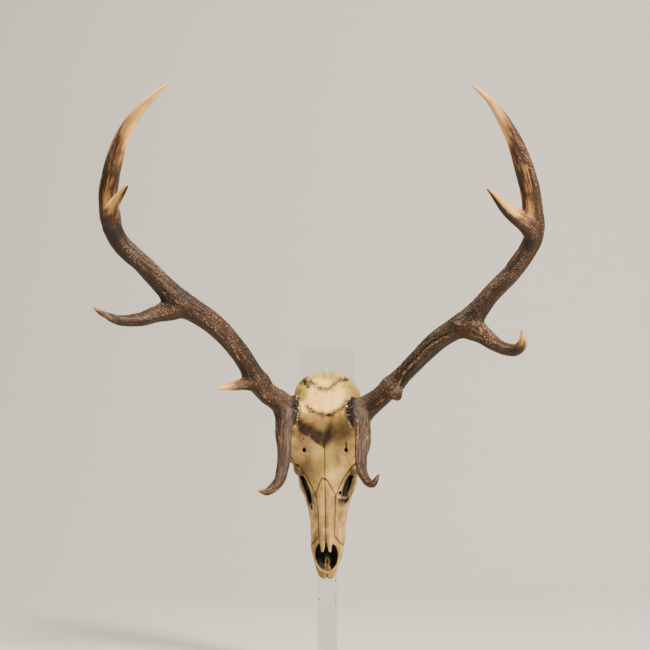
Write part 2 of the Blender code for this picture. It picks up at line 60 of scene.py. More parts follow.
# Camera: where it stands, which way it turns from straight on, and how wide it sees
CAMERA_PLACE = (0.1757, -3.9912, 0.655)
CAMERA_TURN = 2.5
CAMERA_SEES = 17.1

# Antlers: burr centres, the direction in which each antler leaves the skull, and the branches as
# runs of x, y, z and radius
BURR_RADIUS = 21.5 * MM
BURR_THICK = 6.5 * MM
RIGHT_BURR = Vector((-53, 2, 496)) * MM
RIGHT_LEAVES = Vector((-0.96, -0.23, 0.12)).normalized()
LEFT_BURR = Vector((49, 5, 493)) * MM
LEFT_LEAVES = Vector((0.96, -0.23, 0.12)).normalized()

RIGHT_ANTLER = {
    "beam": (
        (-50, 3, 494, 20.5),
        (-66, -3, 499, 21),
        (-84, -17, 516, 20.8),
        (-110.5, -38, 538.5, 19),
        (-150, -76, 604, 17.7),
        (-192, -112, 654.5, 19.4),
        (-251, -156, 698.5, 20.2),
        (-306, -193, 756, 17.6),
        (-352, -224, 806, 17.3),
        (-365, -253, 867, 16.6),
        (-355, -279, 919, 16.2),
        (-334, -307, 973, 13.7),
        (-303, -329, 1017, 9.8),
        (-273, -344, 1045, 6.2),
        (-247, -353, 1064, 1.8),
    ),
    "brow_tine": (
        (-68, -6, 500, 20),
        (-73, -43, 459, 15.5),
        (-69, -90, 420, 12.8),
        (-73, -140, 380, 10.3),
        (-92, -167, 360, 7.1),
        (-110, -180, 362, 2),
    ),
    "bez_tine": (
        (-112, -46, 555, 16),
        (-145, -67, 546, 10),
        (-167, -84, 543, 7.4),
        (-193, -102, 540, 1.8),
    ),
    "trez_tine": (
        (-250, -152, 688, 19),
        (-268, -161, 681, 18.5),
        (-290, -172, 674.5, 15),
        (-317, -190, 665, 12.5),
        (-350, -213, 663, 9.7),
        (-375, -230, 673, 6.1),
        (-392, -243, 685, 1.8),
    ),
    "crown_tine": (
        (-364, -236, 828, 14),
        (-360, -252, 843, 12.5),
        (-355, -268, 854, 10.5),
        (-347, -285, 867, 8.8),
        (-333, -305, 883, 6.2),
        (-320, -331, 893, 2.2),
    ),
}

LEFT_ANTLER = {
    "beam": (
        (46, 7, 491, 20.5),
        (66, 1, 496.5, 20.8),
        (88, -8, 510, 20.3),
        (116, -30, 533.5, 17.9),
        (159.5, -68, 578.5, 16.6),
        (209, -106, 627.5, 18.6),
        (265, -142, 666.5, 19.5),
        (302, -166, 709, 16.1),
        (346, -190, 757.5, 16.5),
        (375, -211, 811, 16.6),
        (371, -236, 866, 17.4),
        (357, -264, 921, 17.2),
        (334, -291, 977, 13),
        (300, -316, 1030, 8),
        (265, -333, 1061, 1.8),
    ),
    "brow_tine": (
        (66, -2, 500, 20),
        (72, -36, 463, 14.8),
        (70, -84, 425, 11.8),
        (75, -130, 389, 9.2),
        (92, -159, 373, 7.2),
        (105, -181, 392, 2),
    ),
    "trez_tine": (
        (257, -142, 651, 20),
        (284, -157, 640, 17.5),
        (314, -182, 618, 12.6),
        (339, -209, 611, 11.2),
        (353, -232, 621, 8.8),
        (353, -250, 648, 2),
    ),
    "crown_tine": (
        (374, -214, 807, 14),
        (365, -230, 824, 15),
        (346, -246, 839, 14),
        (328, -262, 853, 12),
        (311, -277, 870, 8.3),
        (292, -293, 887, 2.2),
    ),
    "knob": ((118, -42, 546, 15), (130, -58, 532, 13.5), (137, -69, 525, 9)),
}

# Share of each branch's length at which it starts to be rubbed bare, and at which it is all bare
RIGHT_RUBBED = {
    "beam": (0.74, 0.93),
    "brow_tine": (0.66, 1.35),
    "bez_tine": (0.15, 1.05),
    "trez_tine": (0.45, 1.5),
    "crown_tine": (0.05, 0.6),
}
LEFT_RUBBED = {
    **RIGHT_RUBBED,
    "beam": (0.80, 0.95),
    "crown_tine": (0.02, 0.75),
    "trez_tine": (0.72, 1.0),
    "knob": (0.9, 2.0),
}
# How far down a crown tine's sides are pale, and how bare the barest horn is. The tips are rubbed
# pale, and keeping the pale to the upper side paints light on it and shade under it.
RIGHT_PALE = ((-1.0, -0.35), 1.0)
LEFT_PALE = ((-0.6, -0.1), 0.8)

# Single lines along the branches, each: branch, rise in millimetres, half width, and a run of share
# of the length and turn. The ones that rise are tan ridges, and the others are dark grooves.
RIGHT_LINES = (
    (
        ("beam", 0.8, 1.7),
        ((0.205, 2.98), (0.244, 3.17), (0.274, 3.12), (0.298, 3.15), (0.331, 3.22), (0.36, 3.46),
         (0.383, 3.42), (0.417, 3.26), (0.448, 3.06)),
    ),
    (("beam", 0.8, 2.0), ((0.046, -1.8), (0.068, -1.92), (0.105, -1.82))),
    (("beam", 1.0, 2.4), ((0.078, 3.01), (0.099, 3.07), (0.119, 2.93))),
    (("brow_tine", 0.8, 2.0), ((0.05, -2.0), (0.164, -2.34), (0.292, -2.74), (0.404, -2.8))),
)
LEFT_LINES = (
    (
        ("beam", -1.8, 1.5),
        ((0.21, 2.62), (0.229, 2.58), (0.25, 2.61), (0.275, 2.71), (0.299, 2.7), (0.322, 2.85),
         (0.347, 2.88), (0.359, 2.96), (0.379, 3.11)),
    ),
    (
        ("beam", 0.9, 1.7),
        ((0.151, 3.55), (0.168, 3.21), (0.187, 3.01), (0.216, 2.96), (0.235, 2.92), (0.263, 2.82),
         (0.285, 2.95), (0.308, 2.95), (0.333, 3.08)),
    ),
    (("beam", -1.6, 1.4), ((0.163, 3.51), (0.178, 3.34), (0.197, 3.24), (0.216, 3.17))),
    (("beam", 0.9, 2.0), ((0.082, 3.3), (0.108, 3.36), (0.12, 3.83))),
    (("beam", 0.6, 1.8), ((0.032, 2.2), (0.068, 2.15))),
    (
        ("brow_tine", 0.8, 1.7),
        ((0.103, 3.06), (0.231, 3.17), (0.439, 3.22), (0.565, 3.39), (0.698, 3.01), (0.814, 3.08)),
    ),
    (("brow_tine", 0.8, 1.8), ((0.1, 1.1), (0.223, 1.58), (0.365, 1.7))),
    (("trez_tine", 0.8, 2.2), ((0.12, 1.5), (0.159, 1.91), (0.247, 2.47), (0.386, 2.84))),
)
CREAM_PATCH = (0.70, 2.95)  # share and turn of the pale patch on each beam beside its crown tine

ANTLER_VOXEL = 1.35 * MM
FORK_BLEND = 6 * MM  # how softly the branches run into each other
# Share of its radius with which a branch starts inside the beam, so that the far side doesn't swell
THIN_ROOTS = {"bez_tine": 0.4, "crown_tine": 0.5, "brow_tine": 0.6, "trez_tine": 0.9, "knob": 0.5}
BURR_BLEND = 2 * MM
BURR_ROUND = 0.82 * BURR_THICK  # the burr ring's own radius

# Relief of the antlers: how deep or high each kind is, and the size of its lumps, which is given
# across a branch in two directions and then along it
GUTTER_DEPTH = 1.3 * MM
GUTTER_SIZE = np.array((9, 9, 95)) * MM
RIDGE_DEPTH = 0.7 * MM
RIDGE_SIZE = np.array((4.2, 4.2, 42)) * MM
PEARL_RISE = 1.3 * MM
PEARL_SIZE = np.array((2.8, 2.8, 3.5)) * MM
KNOB_PEARL_SIZE = 1.5 * PEARL_SIZE
PATCH_SIZE = np.array((16, 16, 40)) * MM
LINE_RISE = 0.9 * MM
BURR_KNOT_SIZE = 5.0 * MM

# Pearls round each burr, a row each: rise above the burr's foot, reach from its axis, radius, count
BURR_PEARLS = ((0.0, 25.3, 2.2, 27), (4.4, 26.8, 2.3, 26), (8.6, 25.6, 2.0, 25))

# Cross sections of the skull, each: height above the muzzle's tip, depth of the upper surface in
# front of the plate, half width of the flat top, half width and depth at the widest place, half
# width of the base, depth of the base
SKULL_SECTIONS = (
    (0, 22, 4, 10, 18, 7, 13),
    (10, 27, 8, 15.5, 19, 10.5, 12),
    (38, 42, 15, 26.5, 24, 20, 12),
    (62, 54, 15, 31, 26, 23, 13),
    (84, 67, 13, 33, 28, 25, 13),
    (120, 75, 14, 35, 32, 29, 12),
    (160, 85, 17, 44, 42, 36, 12),
    (198, 95, 26, 55, 54, 42, 13),
    (235, 103, 40, 61, 72, 40, 17),
    (270, 111, 46, 58, 82, 32, 34),
    (308, 119, 40, 51, 86, 28, 44),
    (338, 117, 36, 50, 80, 32, 44),
    (368, 103, 28, 47, 72, 34, 44),
    (388, 88, 18, 36, 66, 26, 46),
    (396, 80, 8, 20, 66, 12, 54),
)
SECTION_POINTS = 48

# Solid forms on both sides of the skull, each: side, height, depth, half sizes
SKULL_LUMPS = (
    ((16, 383, 42), (10, 11, 13)),
    ((24, 342, 38), (11, 17, 13)),
    ((44, 196, 42), (12, 32, 12)),
    ((52, 254, 95), (23, 29, 13)),
    ((58, 286, 90), (17, 15, 11)),
    ((50, 216, 70), (13, 16, 22)),
    ((55, 344, 58), (9, 12, 10)),
)

# Bars of bone on both sides, each a run of: side, height, depth, radius
SKULL_BARS = {
    "orbit": (
        (62, 229, 62, 6.5),
        (67, 234, 83, 6.5),
        (74, 250, 94, 6.5),
        (76, 266, 88, 6.5),
        (77, 274, 68, 6.5),
        (76, 266, 52, 6.5),
        (71, 245, 46, 7),
        (62, 230, 50, 7),
    ),
    "zygomatic arch": (
        (44, 186, 36, 9.5),
        (50, 206, 40, 8.5),
        (58, 222, 44, 8),
        (68, 244, 46, 7.5),
        (75, 276, 48, 7),
        (71, 310, 54, 7),
        (54, 338, 60, 9),
    ),
    "nuchal ridge": (
        (0, 391, 88, 6.5),
        (22, 389.5, 86, 6.5),
        (38, 380, 80, 7),
        (51, 367, 72, 7.5),
        (56, 351, 62, 8),
    ),
    "jugular process": ((40, 358, 62, 12), (39, 356, 38, 9), (35, 352, 20, 6.5), (33, 349, 7, 4.5)),
    "pterygoid": ((17, 240, 22, 5), (17, 268, 24, 5), (17, 300, 40, 6)),
    "muzzle rim": (
        (11, 6, 19, 5.5),
        (15.5, 20, 24, 5.5),
        (21.5, 42, 33, 5),
        (26, 66, 45, 5.5),
        (22, 100, 58, 5),
    ),
}

# Hollows cut on both sides, each: side, height, depth, half sizes, lean of the long axis outwards
SIDE_HOLLOWS = (
    ((80, 250, 70), (32, 19, 19), 0),
    ((38, 176, 68), (7, 33, 15), 14),
    ((59, 199, 62), (8, 13, 8), 14),
    ((72, 316, 74), (17, 29, 20), -10),
    ((39, 252, 106), (3.5, 5, 8), 0),
    ((38, 124, 42), (7, 7, 5), 0),
)

# Small hollows that widen and break the gaps in front of the eyes, each: side, height, depth, half
# sizes, lean
GAP_HOLLOWS = (
    ((-33, 160, 57), (4.5, 15, 12), -12),
    ((-45, 197, 66), (4.5, 13, 12), -22),
    ((-28.5, 141, 55), (2.2, 7, 8), -8),
    ((36.5, 154, 55), (4.5, 9, 13), 10),
    ((26, 170, 74), (2.8, 4, 10), 0),
    ((44, 198, 68), (5, 14, 14), 22),
)

# Hollows cut on the middle line
MIDDLE_HOLLOWS = (
    ((0, 45, 47), (22.5, 37, 30)),
    ((0, 95, 44), (17, 60, 16)),
    ((0, 6, 20), (1.7, 16, 20)),
    ((0, 150, 2), (26, 110, 18)),
    ((0, 278, 22), (13, 34, 24)),
    ((0, 385, 62), (14, 44, 12)),
)

# Thin bones that stand free inside or over the nose opening, on both sides
NOSE_BARS = (
    ((7.5, 108, 64.5, 6), (7, 82, 61.5, 5.5), (6.5, 64, 56.5, 3.5), (7.5, 56, 53.5, 2.2)),
    ((3.4, 4, 19, 3), (3.2, 22, 26, 2.1), (3.0, 40, 28, 1.8), (3, 60, 22, 2)),
)

# Thin bone that crosses the gap in front of the left eye
GAP_BRIDGE = ((19, 163, 83, 3), (28, 161, 76, 2.8), (38, 160, 66, 3))

PEDICLE_ROOT = (24, 310, 92)
SKULL_TURN = 0.052  # how far the skull's upper side leans to the side for each step back from it

# Seams between the bones of the upper side, each a run of: side, height
FACE_SEAMS = (
    ((-1, 197), (-6, 199), (-18.5, 171), (-14.3, 134), (-13.7, 100), (-13, 79)),
    ((-1, 197), (3, 195), (18, 168), (17.6, 142), (16.4, 109), (16, 84)),
    ((-13, 88), (-28.6, 70)),
    ((16, 87), (30, 68)),
    ((-65, 239), (-55, 226), (-44, 213), (-35, 200), (-25, 181), (-20, 163)),
    ((65, 239), (55, 226), (44, 213), (35, 200), (25, 181), (20, 163)),
)
MIDLINE_TOP = 292
NASAL_MIDDLE = 7.3

# The two jagged seams over the braincase, each a run of: side, height
NUCHAL_SEAM = (
    (-31.8, 380.3),
    (-18.7, 372.8),
    (-9.3, 366.3),
    (0, 364.4),
    (9.3, 367.2),
    (18.7, 376.5),
    (29.9, 383.1),
    (44.9, 384),
)
CORONAL_SEAM = (
    (-31.5, 334),
    (-21.5, 324),
    (-10, 320),
    (1, 316.5),
    (12, 319.3),
    (23.5, 324.8),
    (33, 333.2),
    (38.5, 341.6),
)

# Brown bands on the skull, each: half width, strength, and a run of side and height
BROWN_BANDS = (
    ((5.2, 1.0), NUCHAL_SEAM),
    ((8, 1.4), ((-39, 384), (-34.5, 374))),
    ((4.5, 0.42), ((-31.8, 371), (-35.5, 354), (-31.8, 335.4), (-24.3, 324.8))),
    ((3.0, 0.4), ((35.5, 374.7), (42, 357.8), (39.3, 343.5), (31.8, 332.3))),
    ((5.0, 1.05), CORONAL_SEAM),
    ((3.8, 0.75), ((-25, 166), (-21, 146), (-17.5, 116))),
    ((3.8, 0.45), ((35, 150), (28, 132), (22, 113))),
)

# Small pits, dented in and painted near-black inside as shade, each: side, height, half width, half
# height
PITS = (
    (-21, 324, 2.6, 2.2),
    (-12.6, 342, 1.3, 1.3),
    (1.4, 367, 1.6, 1.6),
    (0, 360, 1.4, 1.4),
    (-39, 251, 3.3, 3.6),
    (-40, 273, 2.0, 2.4),
    (39.5, 262, 1.8, 9.5),
)

BONE_VOXEL = 1.5 * MM
BONE_FACES = 192_000  # the skull's triangles at most

# Teeth of one side, each: name, height, side, length along the jaw, width, lobes
TEETH = (
    ("premolar_1", 138, 26.5, 12, 12, 1),
    ("premolar_2", 152, 29.0, 13, 14, 1),
    ("premolar_3", 166, 31.5, 13, 15, 1),
    ("molar_1", 182, 34.0, 17, 17, 2),
    ("molar_2", 201, 36.5, 19, 18, 2),
    ("molar_3", 221, 38.0, 19, 17, 2),
)
TOOTH_HEIGHT = 26
TOOTH_TIP = 0.5  # how far a tooth's crown stands off the plate's face

WIRE_RADIUS = 1.3 * MM

# Small dark flecks on the clear strip, each: x, z
FLECKS = (
    (-14.4, 148.3),
    (-15.4, 129.8),
    (15.9, 166.1),
    (15.9, 144.3),
    (16.2, 136.5),
    (15.6, 126.1),
    (16.2, 117.9),
)

# Lights, each: place, what it points at, size, power in watts, colour
LIGHTS = {
    "key": ((2.0, -1.9, 2.3), (0, 0, 0.65), 0.6, 265, (1.0, 0.89, 0.74)),
    "top": ((-1.4, -0.4, 2.3), (-0.2, -0.2, 0.9), 0.7, 75, (1.0, 0.90, 0.76)),
    "rim": ((1.4, 1.2, 2.4), (0, 0, 0.65), 0.9, 25, (1.0, 0.95, 0.88)),
}
SKY_COLOR = (0.86, 0.84, 0.78, 1)
SKY_STRENGTH = 0.17

# Floor: a strip that is flat in front and sweeps up to a wall behind
FLOOR_FRONT = -8.0
FLOOR_SWEEP = 1.2
FLOOR_TOP = 6.0
FLOOR_HALF = 9.0
FLOOR_DROP = 0.4 * MM


def step_between(low, high, value):
    """0 below low, 1 above high, and a smooth rise between them. low may be the greater one."""
    t = np.clip((value - low) / (high - low), 0, 1)
    return t * t * (3 - 2 * t)


def hashed(cells, seed):
    """A number from 0 to 1 for each whole-number cell, the same in every run."""
    mixed = np.full(cells.shape[:-1], (seed * 2654435761) & 0xFFFFFFFF, np.uint64)
    for axis, factor in enumerate((374761393, 668265263, 2246822519)):
        part = (cells[..., axis] & 0xFFFF).astype(np.uint64) * np.uint64(factor)
        mixed = (mixed ^ part) * np.uint64(1274126177) & np.uint64(0xFFFFFFFF)
        mixed ^= mixed >> np.uint64(15)
    return mixed.astype(float) / 0xFFFFFFFF


def cloudy(points, seed):
    """Smooth noise from 0 to 1 with lumps about one unit wide."""
    base = np.floor(points).astype(np.int64)
    part = points - base
    part = part * part * (3 - 2 * part)
    total = np.zeros(len(points))
    for corner in itertools.product((0, 1), repeat=3):
        weight = np.prod(np.where(corner, part, 1 - part), axis=1)
        total += weight * hashed(base + corner, seed)
    return total


def beads(points, seed):
    """Rounded beads scattered one to a unit cell: 1 on a bead's top, 0 between the beads."""
    base = np.floor(points).astype(np.int64)
    nearest = np.full(len(points), 9.0)
    for corner in itertools.product((-1, 0, 1), repeat=3):
        cell = base + corner
        loose = np.stack([hashed(cell, seed + k) for k in range(3)], axis=1)
        middle = cell + 0.5 + 0.35 * (loose * 2 - 1)
        nearest = np.minimum(nearest, np.linalg.norm(points - middle, axis=1))
    return np.clip(1 - (nearest / 0.62) ** 2, 0, 1)


def through_points(rows, per_step):
    """A smooth Catmull-Rom run through the rows, with the given number of steps between each two."""
    rows = np.asarray(rows, float)
    padded = np.vstack([2 * rows[0] - rows[1], rows, 2 * rows[-1] - rows[-2]])
    found = []
    for before, start, end, after in zip(padded, padded[1:], padded[2:], padded[3:]):
        for u in np.arange(per_step) / per_step:
            found.append(
                0.5
                * (
                    2 * start
                    + (end - before) * u
                    + (2 * before - 5 * start + 4 * end - after) * u**2
                    + (3 * start - before - 3 * end + after) * u**3
                )
            )
    found.append(rows[-1])
    return np.array(found)


def ring_faces(rings, around):
    """Faces of a closed tube whose points go ring by ring."""
    faces = []
    for first in range(0, (rings - 1) * around, around):
        for k in range(around):
            after = (k + 1) % around
            faces.append((first + k, first + after, first + around + after, first + around + k))
    count = rings * around
    return faces + [tuple(reversed(range(around))), tuple(range(count - around, count))]


class Branch:
    """A smooth bent taper: a centre line in metres with a radius at each of its points."""

    def __init__(self, rows, per_step=12, root=1.0):
        run = through_points(rows, per_step)
        self.centers = run[:, :3]
        self.radii = np.maximum(run[:, 3], 0.4 * MM)
        steps = np.diff(self.centers, axis=0)
        self.along = np.concatenate([[0], np.cumsum(np.linalg.norm(steps, axis=1))])
        self.length = self.along[-1]
        self.radii = self.radii * (root + (1 - root) * step_between(0, 19 * MM, self.along))
        tangents = np.gradient(self.centers, axis=0)
        self.tangents = tangents / np.linalg.norm(tangents, axis=1, keepdims=True)
        self.sides = self.turned_along(np.array((0.2, 0.9, 0.4)))
        self.fronts = np.cross(self.tangents, self.sides)

    def turned_along(self, side):
        """A direction across the branch that is carried along it without twisting."""
        sides = []
        for tangent in self.tangents:
            side = side - tangent * (side @ tangent)
            side = side / np.linalg.norm(side)
            sides.append(side)
        return np.array(sides)

    def around(self, points):
        """For each point: distance outside the branch, the way out, place, turn, and radius there."""
        nearest = np.empty(len(points), int)
        for first in range(0, len(points), 8000):
            part = points[first : first + 8000]
            apart = part[:, None, :] - self.centers[None]
            nearest[first : first + 8000] = (apart**2).sum(axis=2).argmin(axis=1)
        reach = np.gradient(self.along)[nearest]
        offset = points - self.centers[nearest]
        slid = np.clip((offset * self.tangents[nearest]).sum(axis=1), -reach, reach)
        slid = np.where((nearest == 0) | (nearest == len(self.centers) - 1), np.minimum(slid, 0), slid)
        place = self.along[nearest] + slid
        radius = np.interp(place, self.along, self.radii)
        away = offset - self.tangents[nearest] * slid[:, None]
        distance = np.linalg.norm(away, axis=1)
        fronts, sides = self.fronts[nearest], self.sides[nearest]
        turn = np.arctan2((away * fronts).sum(axis=1), (away * sides).sum(axis=1))
        out = away / np.maximum(distance, 1e-9)[:, None]
        return distance - radius, out, place, turn, radius

    def tube(self, around=28):
        """Points and faces of the closed tube."""
        turns = 2 * np.pi * np.arange(around) / around
        ring = (
            np.cos(turns)[None, :, None] * self.sides[:, None, :]
            + np.sin(turns)[None, :, None] * self.fronts[:, None, :]
        )
        points = (self.centers[:, None, :] + ring * self.radii[:, None, None]).reshape(-1, 3)
        return points, ring_faces(len(self.centers), around)


def in_metres(run):
    return [tuple(value * MM for value in row) for row in run]


def new_object(name, points, faces):
    mesh = bpy.data.meshes.new(name)
    mesh.from_pydata([tuple(point) for point in points], [], [tuple(face) for face in faces])
    mesh.validate()
    bm = bmesh.new()
    bm.from_mesh(mesh)
    bmesh.ops.recalc_face_normals(bm, faces=bm.faces)
    bm.to_mesh(mesh)
    bm.free()
    obj = bpy.data.objects.new(name, mesh)
    bpy.context.scene.collection.objects.link(obj)
    return obj


def joined_object(name, shapes):
    """One object from several closed shapes, each given as its points and faces."""
    points, faces = [], []
    for shape_points, shape_faces in shapes:
        start = len(points)
        points.extend(shape_points)
        faces.extend(tuple(start + k for k in face) for face in shape_faces)
    return new_object(name, points, faces)


def applied(obj):
    """Applies the object's modifiers to its own mesh."""
    graph = bpy.context.evaluated_depsgraph_get()
    graph.update()
    mesh = bpy.data.meshes.new_from_object(obj.evaluated_get(graph))
    obj.modifiers.clear()
    old = obj.data
    obj.data = mesh
    bpy.data.meshes.remove(old)
    return obj


def remeshed(obj, size):
    step = obj.modifiers.new("join", "REMESH")
    step.mode = "VOXEL"
    step.voxel_size = size


def softened(obj, turns):
    step = obj.modifiers.new("soften", "SMOOTH")
    step.factor = 0.5
    step.iterations = turns


def cut_away(obj, cutter):
    """Cuts the object with another one, which is used up."""
    step = obj.modifiers.new("cut", "BOOLEAN")
    step.operation = "DIFFERENCE"
    step.solver = "MANIFOLD"
    step.object = cutter
    applied(obj)
    bpy.data.objects.remove(cutter, do_unlink=True)


def values_of(items, field, width, kind=float):
    """One field of all the items of a mesh, a row for each."""
    values = np.empty(len(items) * width, kind)
    items.foreach_get(field, values)
    return values.reshape(-1, width)


def vertex_places(mesh):
    return values_of(mesh.vertices, "co", 3)


def vertex_normals(mesh):
    return values_of(mesh.vertices, "normal", 3)


def move_vertices(mesh, places):
    mesh.vertices.foreach_set("co", places.reshape(-1).astype(np.float32))
    mesh.update()


def mesh_edges(mesh):
    return values_of(mesh.edges, "vertices", 2, np.int64)


def neighbours_mean(values, edges):
    """For each vertex, the mean of the values at the vertices that it shares an edge with."""
    count = np.bincount(edges.reshape(-1), minlength=len(values))
    total = np.zeros_like(values)
    for axis in range(values.shape[1]):
        column = values[:, axis]
        for here, there in (edges.T, edges.T[::-1]):
            total[:, axis] += np.bincount(here, column[there], len(values))
    return total / np.maximum(count, 1)[:, None]


def taken(bm):
    """Points and faces of a bmesh, which is used up."""
    points = np.array([vert.co for vert in bm.verts])
    faces = [[vert.index for vert in face.verts] for face in bm.faces]
    bm.free()
    return points, faces


def store(mesh, name, values):
    """Keeps a number or a vector for each vertex, for the materials to read."""
    kind = "FLOAT" if values.ndim == 1 else "FLOAT_VECTOR"
    attribute = mesh.attributes.new(name, kind, "POINT")
    field = "value" if values.ndim == 1 else "vector"
    attribute.data.foreach_set(field, values.reshape(-1).astype(np.float32))


class Finish:
    """A node material that is built up a node at a time."""

    def __init__(self, name):
        self.material = bpy.data.materials.new(name)
        self.material.use_nodes = True
        self.tree = self.material.node_tree
        self.shader = self.tree.nodes["Principled BSDF"]

    def put(self, socket, value):
        if isinstance(value, bpy.types.NodeSocket):
            self.tree.links.new(value, socket)
        elif isinstance(value, tuple) and len(value) == 3 and socket.type == "RGBA":
            socket.default_value = (*value, 1)
        else:
            socket.default_value = value

    def node(self, kind, inputs=(), **settings):
        made = self.tree.nodes.new(kind)
        for key, value in settings.items():
            setattr(made, key, value)
        for key, value in dict(inputs).items():
            self.put(made.inputs[key], value)
        return made

    def attribute(self, name):
        return self.node("ShaderNodeAttribute", attribute_name=name).outputs["Fac"]

    def vector_attribute(self, name):
        return self.node("ShaderNodeAttribute", attribute_name=name).outputs["Vector"]

    def place(self):
        return self.node("ShaderNodeTexCoord").outputs["Object"]

    def stretched(self, vector, scale):
        return self.node("ShaderNodeMapping", {"Vector": vector, "Scale": scale}).outputs["Vector"]

    def noise(self, vector, scale, detail=3.0, roughness=0.55):
        inputs = {"Vector": vector, "Scale": scale, "Detail": detail, "Roughness": roughness}
        return self.node("ShaderNodeTexNoise", inputs).outputs["Fac"]

    def speckle(self, vector, scale):
        inputs = {"Vector": vector, "Scale": scale}
        return self.node("ShaderNodeTexVoronoi", inputs).outputs["Distance"]

    def ranged(self, value, low, high, to_low=0.0, to_high=1.0):
        inputs = {"Value": value, "From Min": low, "From Max": high, "To Min": to_low, "To Max": to_high}
        return self.node("ShaderNodeMapRange", inputs, interpolation_type="SMOOTHSTEP").outputs["Result"]

    def math(self, operation, first, second=0.0):
        made = self.node("ShaderNodeMath", operation=operation, use_clamp=True)
        self.put(made.inputs[0], first)
        self.put(made.inputs[1], second)
        return made.outputs["Value"]

    def mixed(self, share, first, second):
        made = self.node("ShaderNodeMix", data_type="RGBA")
        self.put(made.inputs[0], share)
        self.put(made.inputs[6], first)
        self.put(made.inputs[7], second)
        return made.outputs[2]

    def bump(self, height, strength, distance):
        inputs = {"Height": height, "Strength": strength, "Distance": distance}
        self.put(self.shader.inputs["Normal"], self.node("ShaderNodeBump", inputs).outputs["Normal"])

    def done(self, **values):
        for key, value in values.items():
            self.put(self.shader.inputs[key.replace("_", " ")], value)
        return self.material


def antler_finish():
    """Dark brown antler, tan on its ridges and pearls, rubbed to ivory at the tips, with painted light
    and shade.
    """
    finish = Finish("antler")
    grain = finish.vector_attribute("grain")
    relief = finish.attribute("relief")
    bare = finish.attribute("bare")
    collar = finish.attribute("collar")
    grey = finish.attribute("grey")
    lines = finish.attribute("lines")
    streaks = finish.noise(finish.stretched(grain, (1, 1, 0.09)), 330.0, 4.0, 0.6)
    blotches = finish.noise(finish.stretched(grain, (1, 1, 0.3)), 28.0, 3.0)
    fine = finish.noise(grain, 900.0, 2.0)
    dots = finish.speckle(grain, 470.0)

    darker = finish.ranged(blotches, 0.35, 0.65)
    dark = finish.mixed(darker, (0.009, 0.0034, 0.0013), (0.033, 0.0125, 0.0045))
    dark = finish.mixed(grey, dark, (0.022, 0.0115, 0.0085))
    tan = finish.mixed(finish.ranged(blotches, 0.35, 0.7), (0.19, 0.093, 0.040), (0.42, 0.245, 0.120))
    tan = finish.mixed(finish.math("MULTIPLY", grey, 0.8), tan, (0.10, 0.059, 0.040))
    broken = finish.math("MAXIMUM", finish.ranged(streaks, 0.36, 0.62), finish.ranged(dots, 0.46, 0.2))
    dotted = finish.math("MULTIPLY", finish.ranged(dots, 0.60, 0.12), 0.75)
    raised = finish.ranged(finish.math("MULTIPLY", finish.math("ADD", relief, 0.25), dotted), 0.14, 0.52)
    streaked = finish.math("MULTIPLY", grey, finish.ranged(streaks, 0.42, 0.62, 0.0, 0.7))
    horn = finish.mixed(finish.math("MAXIMUM", raised, streaked), dark, tan)
    warm = finish.mixed(finish.ranged(streaks, 0.34, 0.66), (0.055, 0.020, 0.006), (0.52, 0.25, 0.075))
    ivory = finish.mixed(finish.ranged(blotches, 0.3, 0.7), (0.54, 0.265, 0.055), (0.88, 0.55, 0.18))
    ivory = finish.mixed(finish.ranged(streaks, 0.5, 0.75, 0.0, 0.5), ivory, (0.36, 0.155, 0.04))
    worn = finish.mixed(finish.ranged(bare, 0.45, 0.95), warm, ivory)
    patchy = finish.math("ADD", bare, finish.math("MULTIPLY", finish.ranged(streaks, 0.35, 0.75), 0.35))
    color = finish.mixed(finish.ranged(patchy, 0.30, 0.80), horn, worn)
    broken = finish.ranged(broken, 0.0, 0.6, 0.1, 0.65)
    crumbled = finish.math("MULTIPLY", finish.ranged(lines, 0.3, 1.0), broken)
    color = finish.mixed(crumbled, color, (0.32, 0.175, 0.08))
    # Near-black where the lines sink: the dark grooves, and the painted shade under each crown tine
    color = finish.mixed(finish.ranged(lines, -0.3, -1.1), color, (0.006, 0.0025, 0.0015))
    # Pale pearl tips on a near-black burr, their front and upper sides a painted highlight
    pearl_tips_and_highlight = finish.math("MULTIPLY", collar, finish.ranged(relief, 0.55, 0.85))
    color = finish.mixed(finish.math("MULTIPLY", collar, 0.9), color, (0.008, 0.004, 0.003))
    color = finish.mixed(pearl_tips_and_highlight, color, (0.70, 0.50, 0.33))

    rough = finish.ranged(bare, 0.0, 1.0, 0.58, 0.36)
    rise = finish.math("ADD", finish.math("MULTIPLY", streaks, 0.6), finish.math("MULTIPLY", fine, 0.4))
    finish.bump(rise, 0.35, 0.0006)
    return finish.done(Base_Color=color, Roughness=rough, Specular_IOR_Level=0.35)


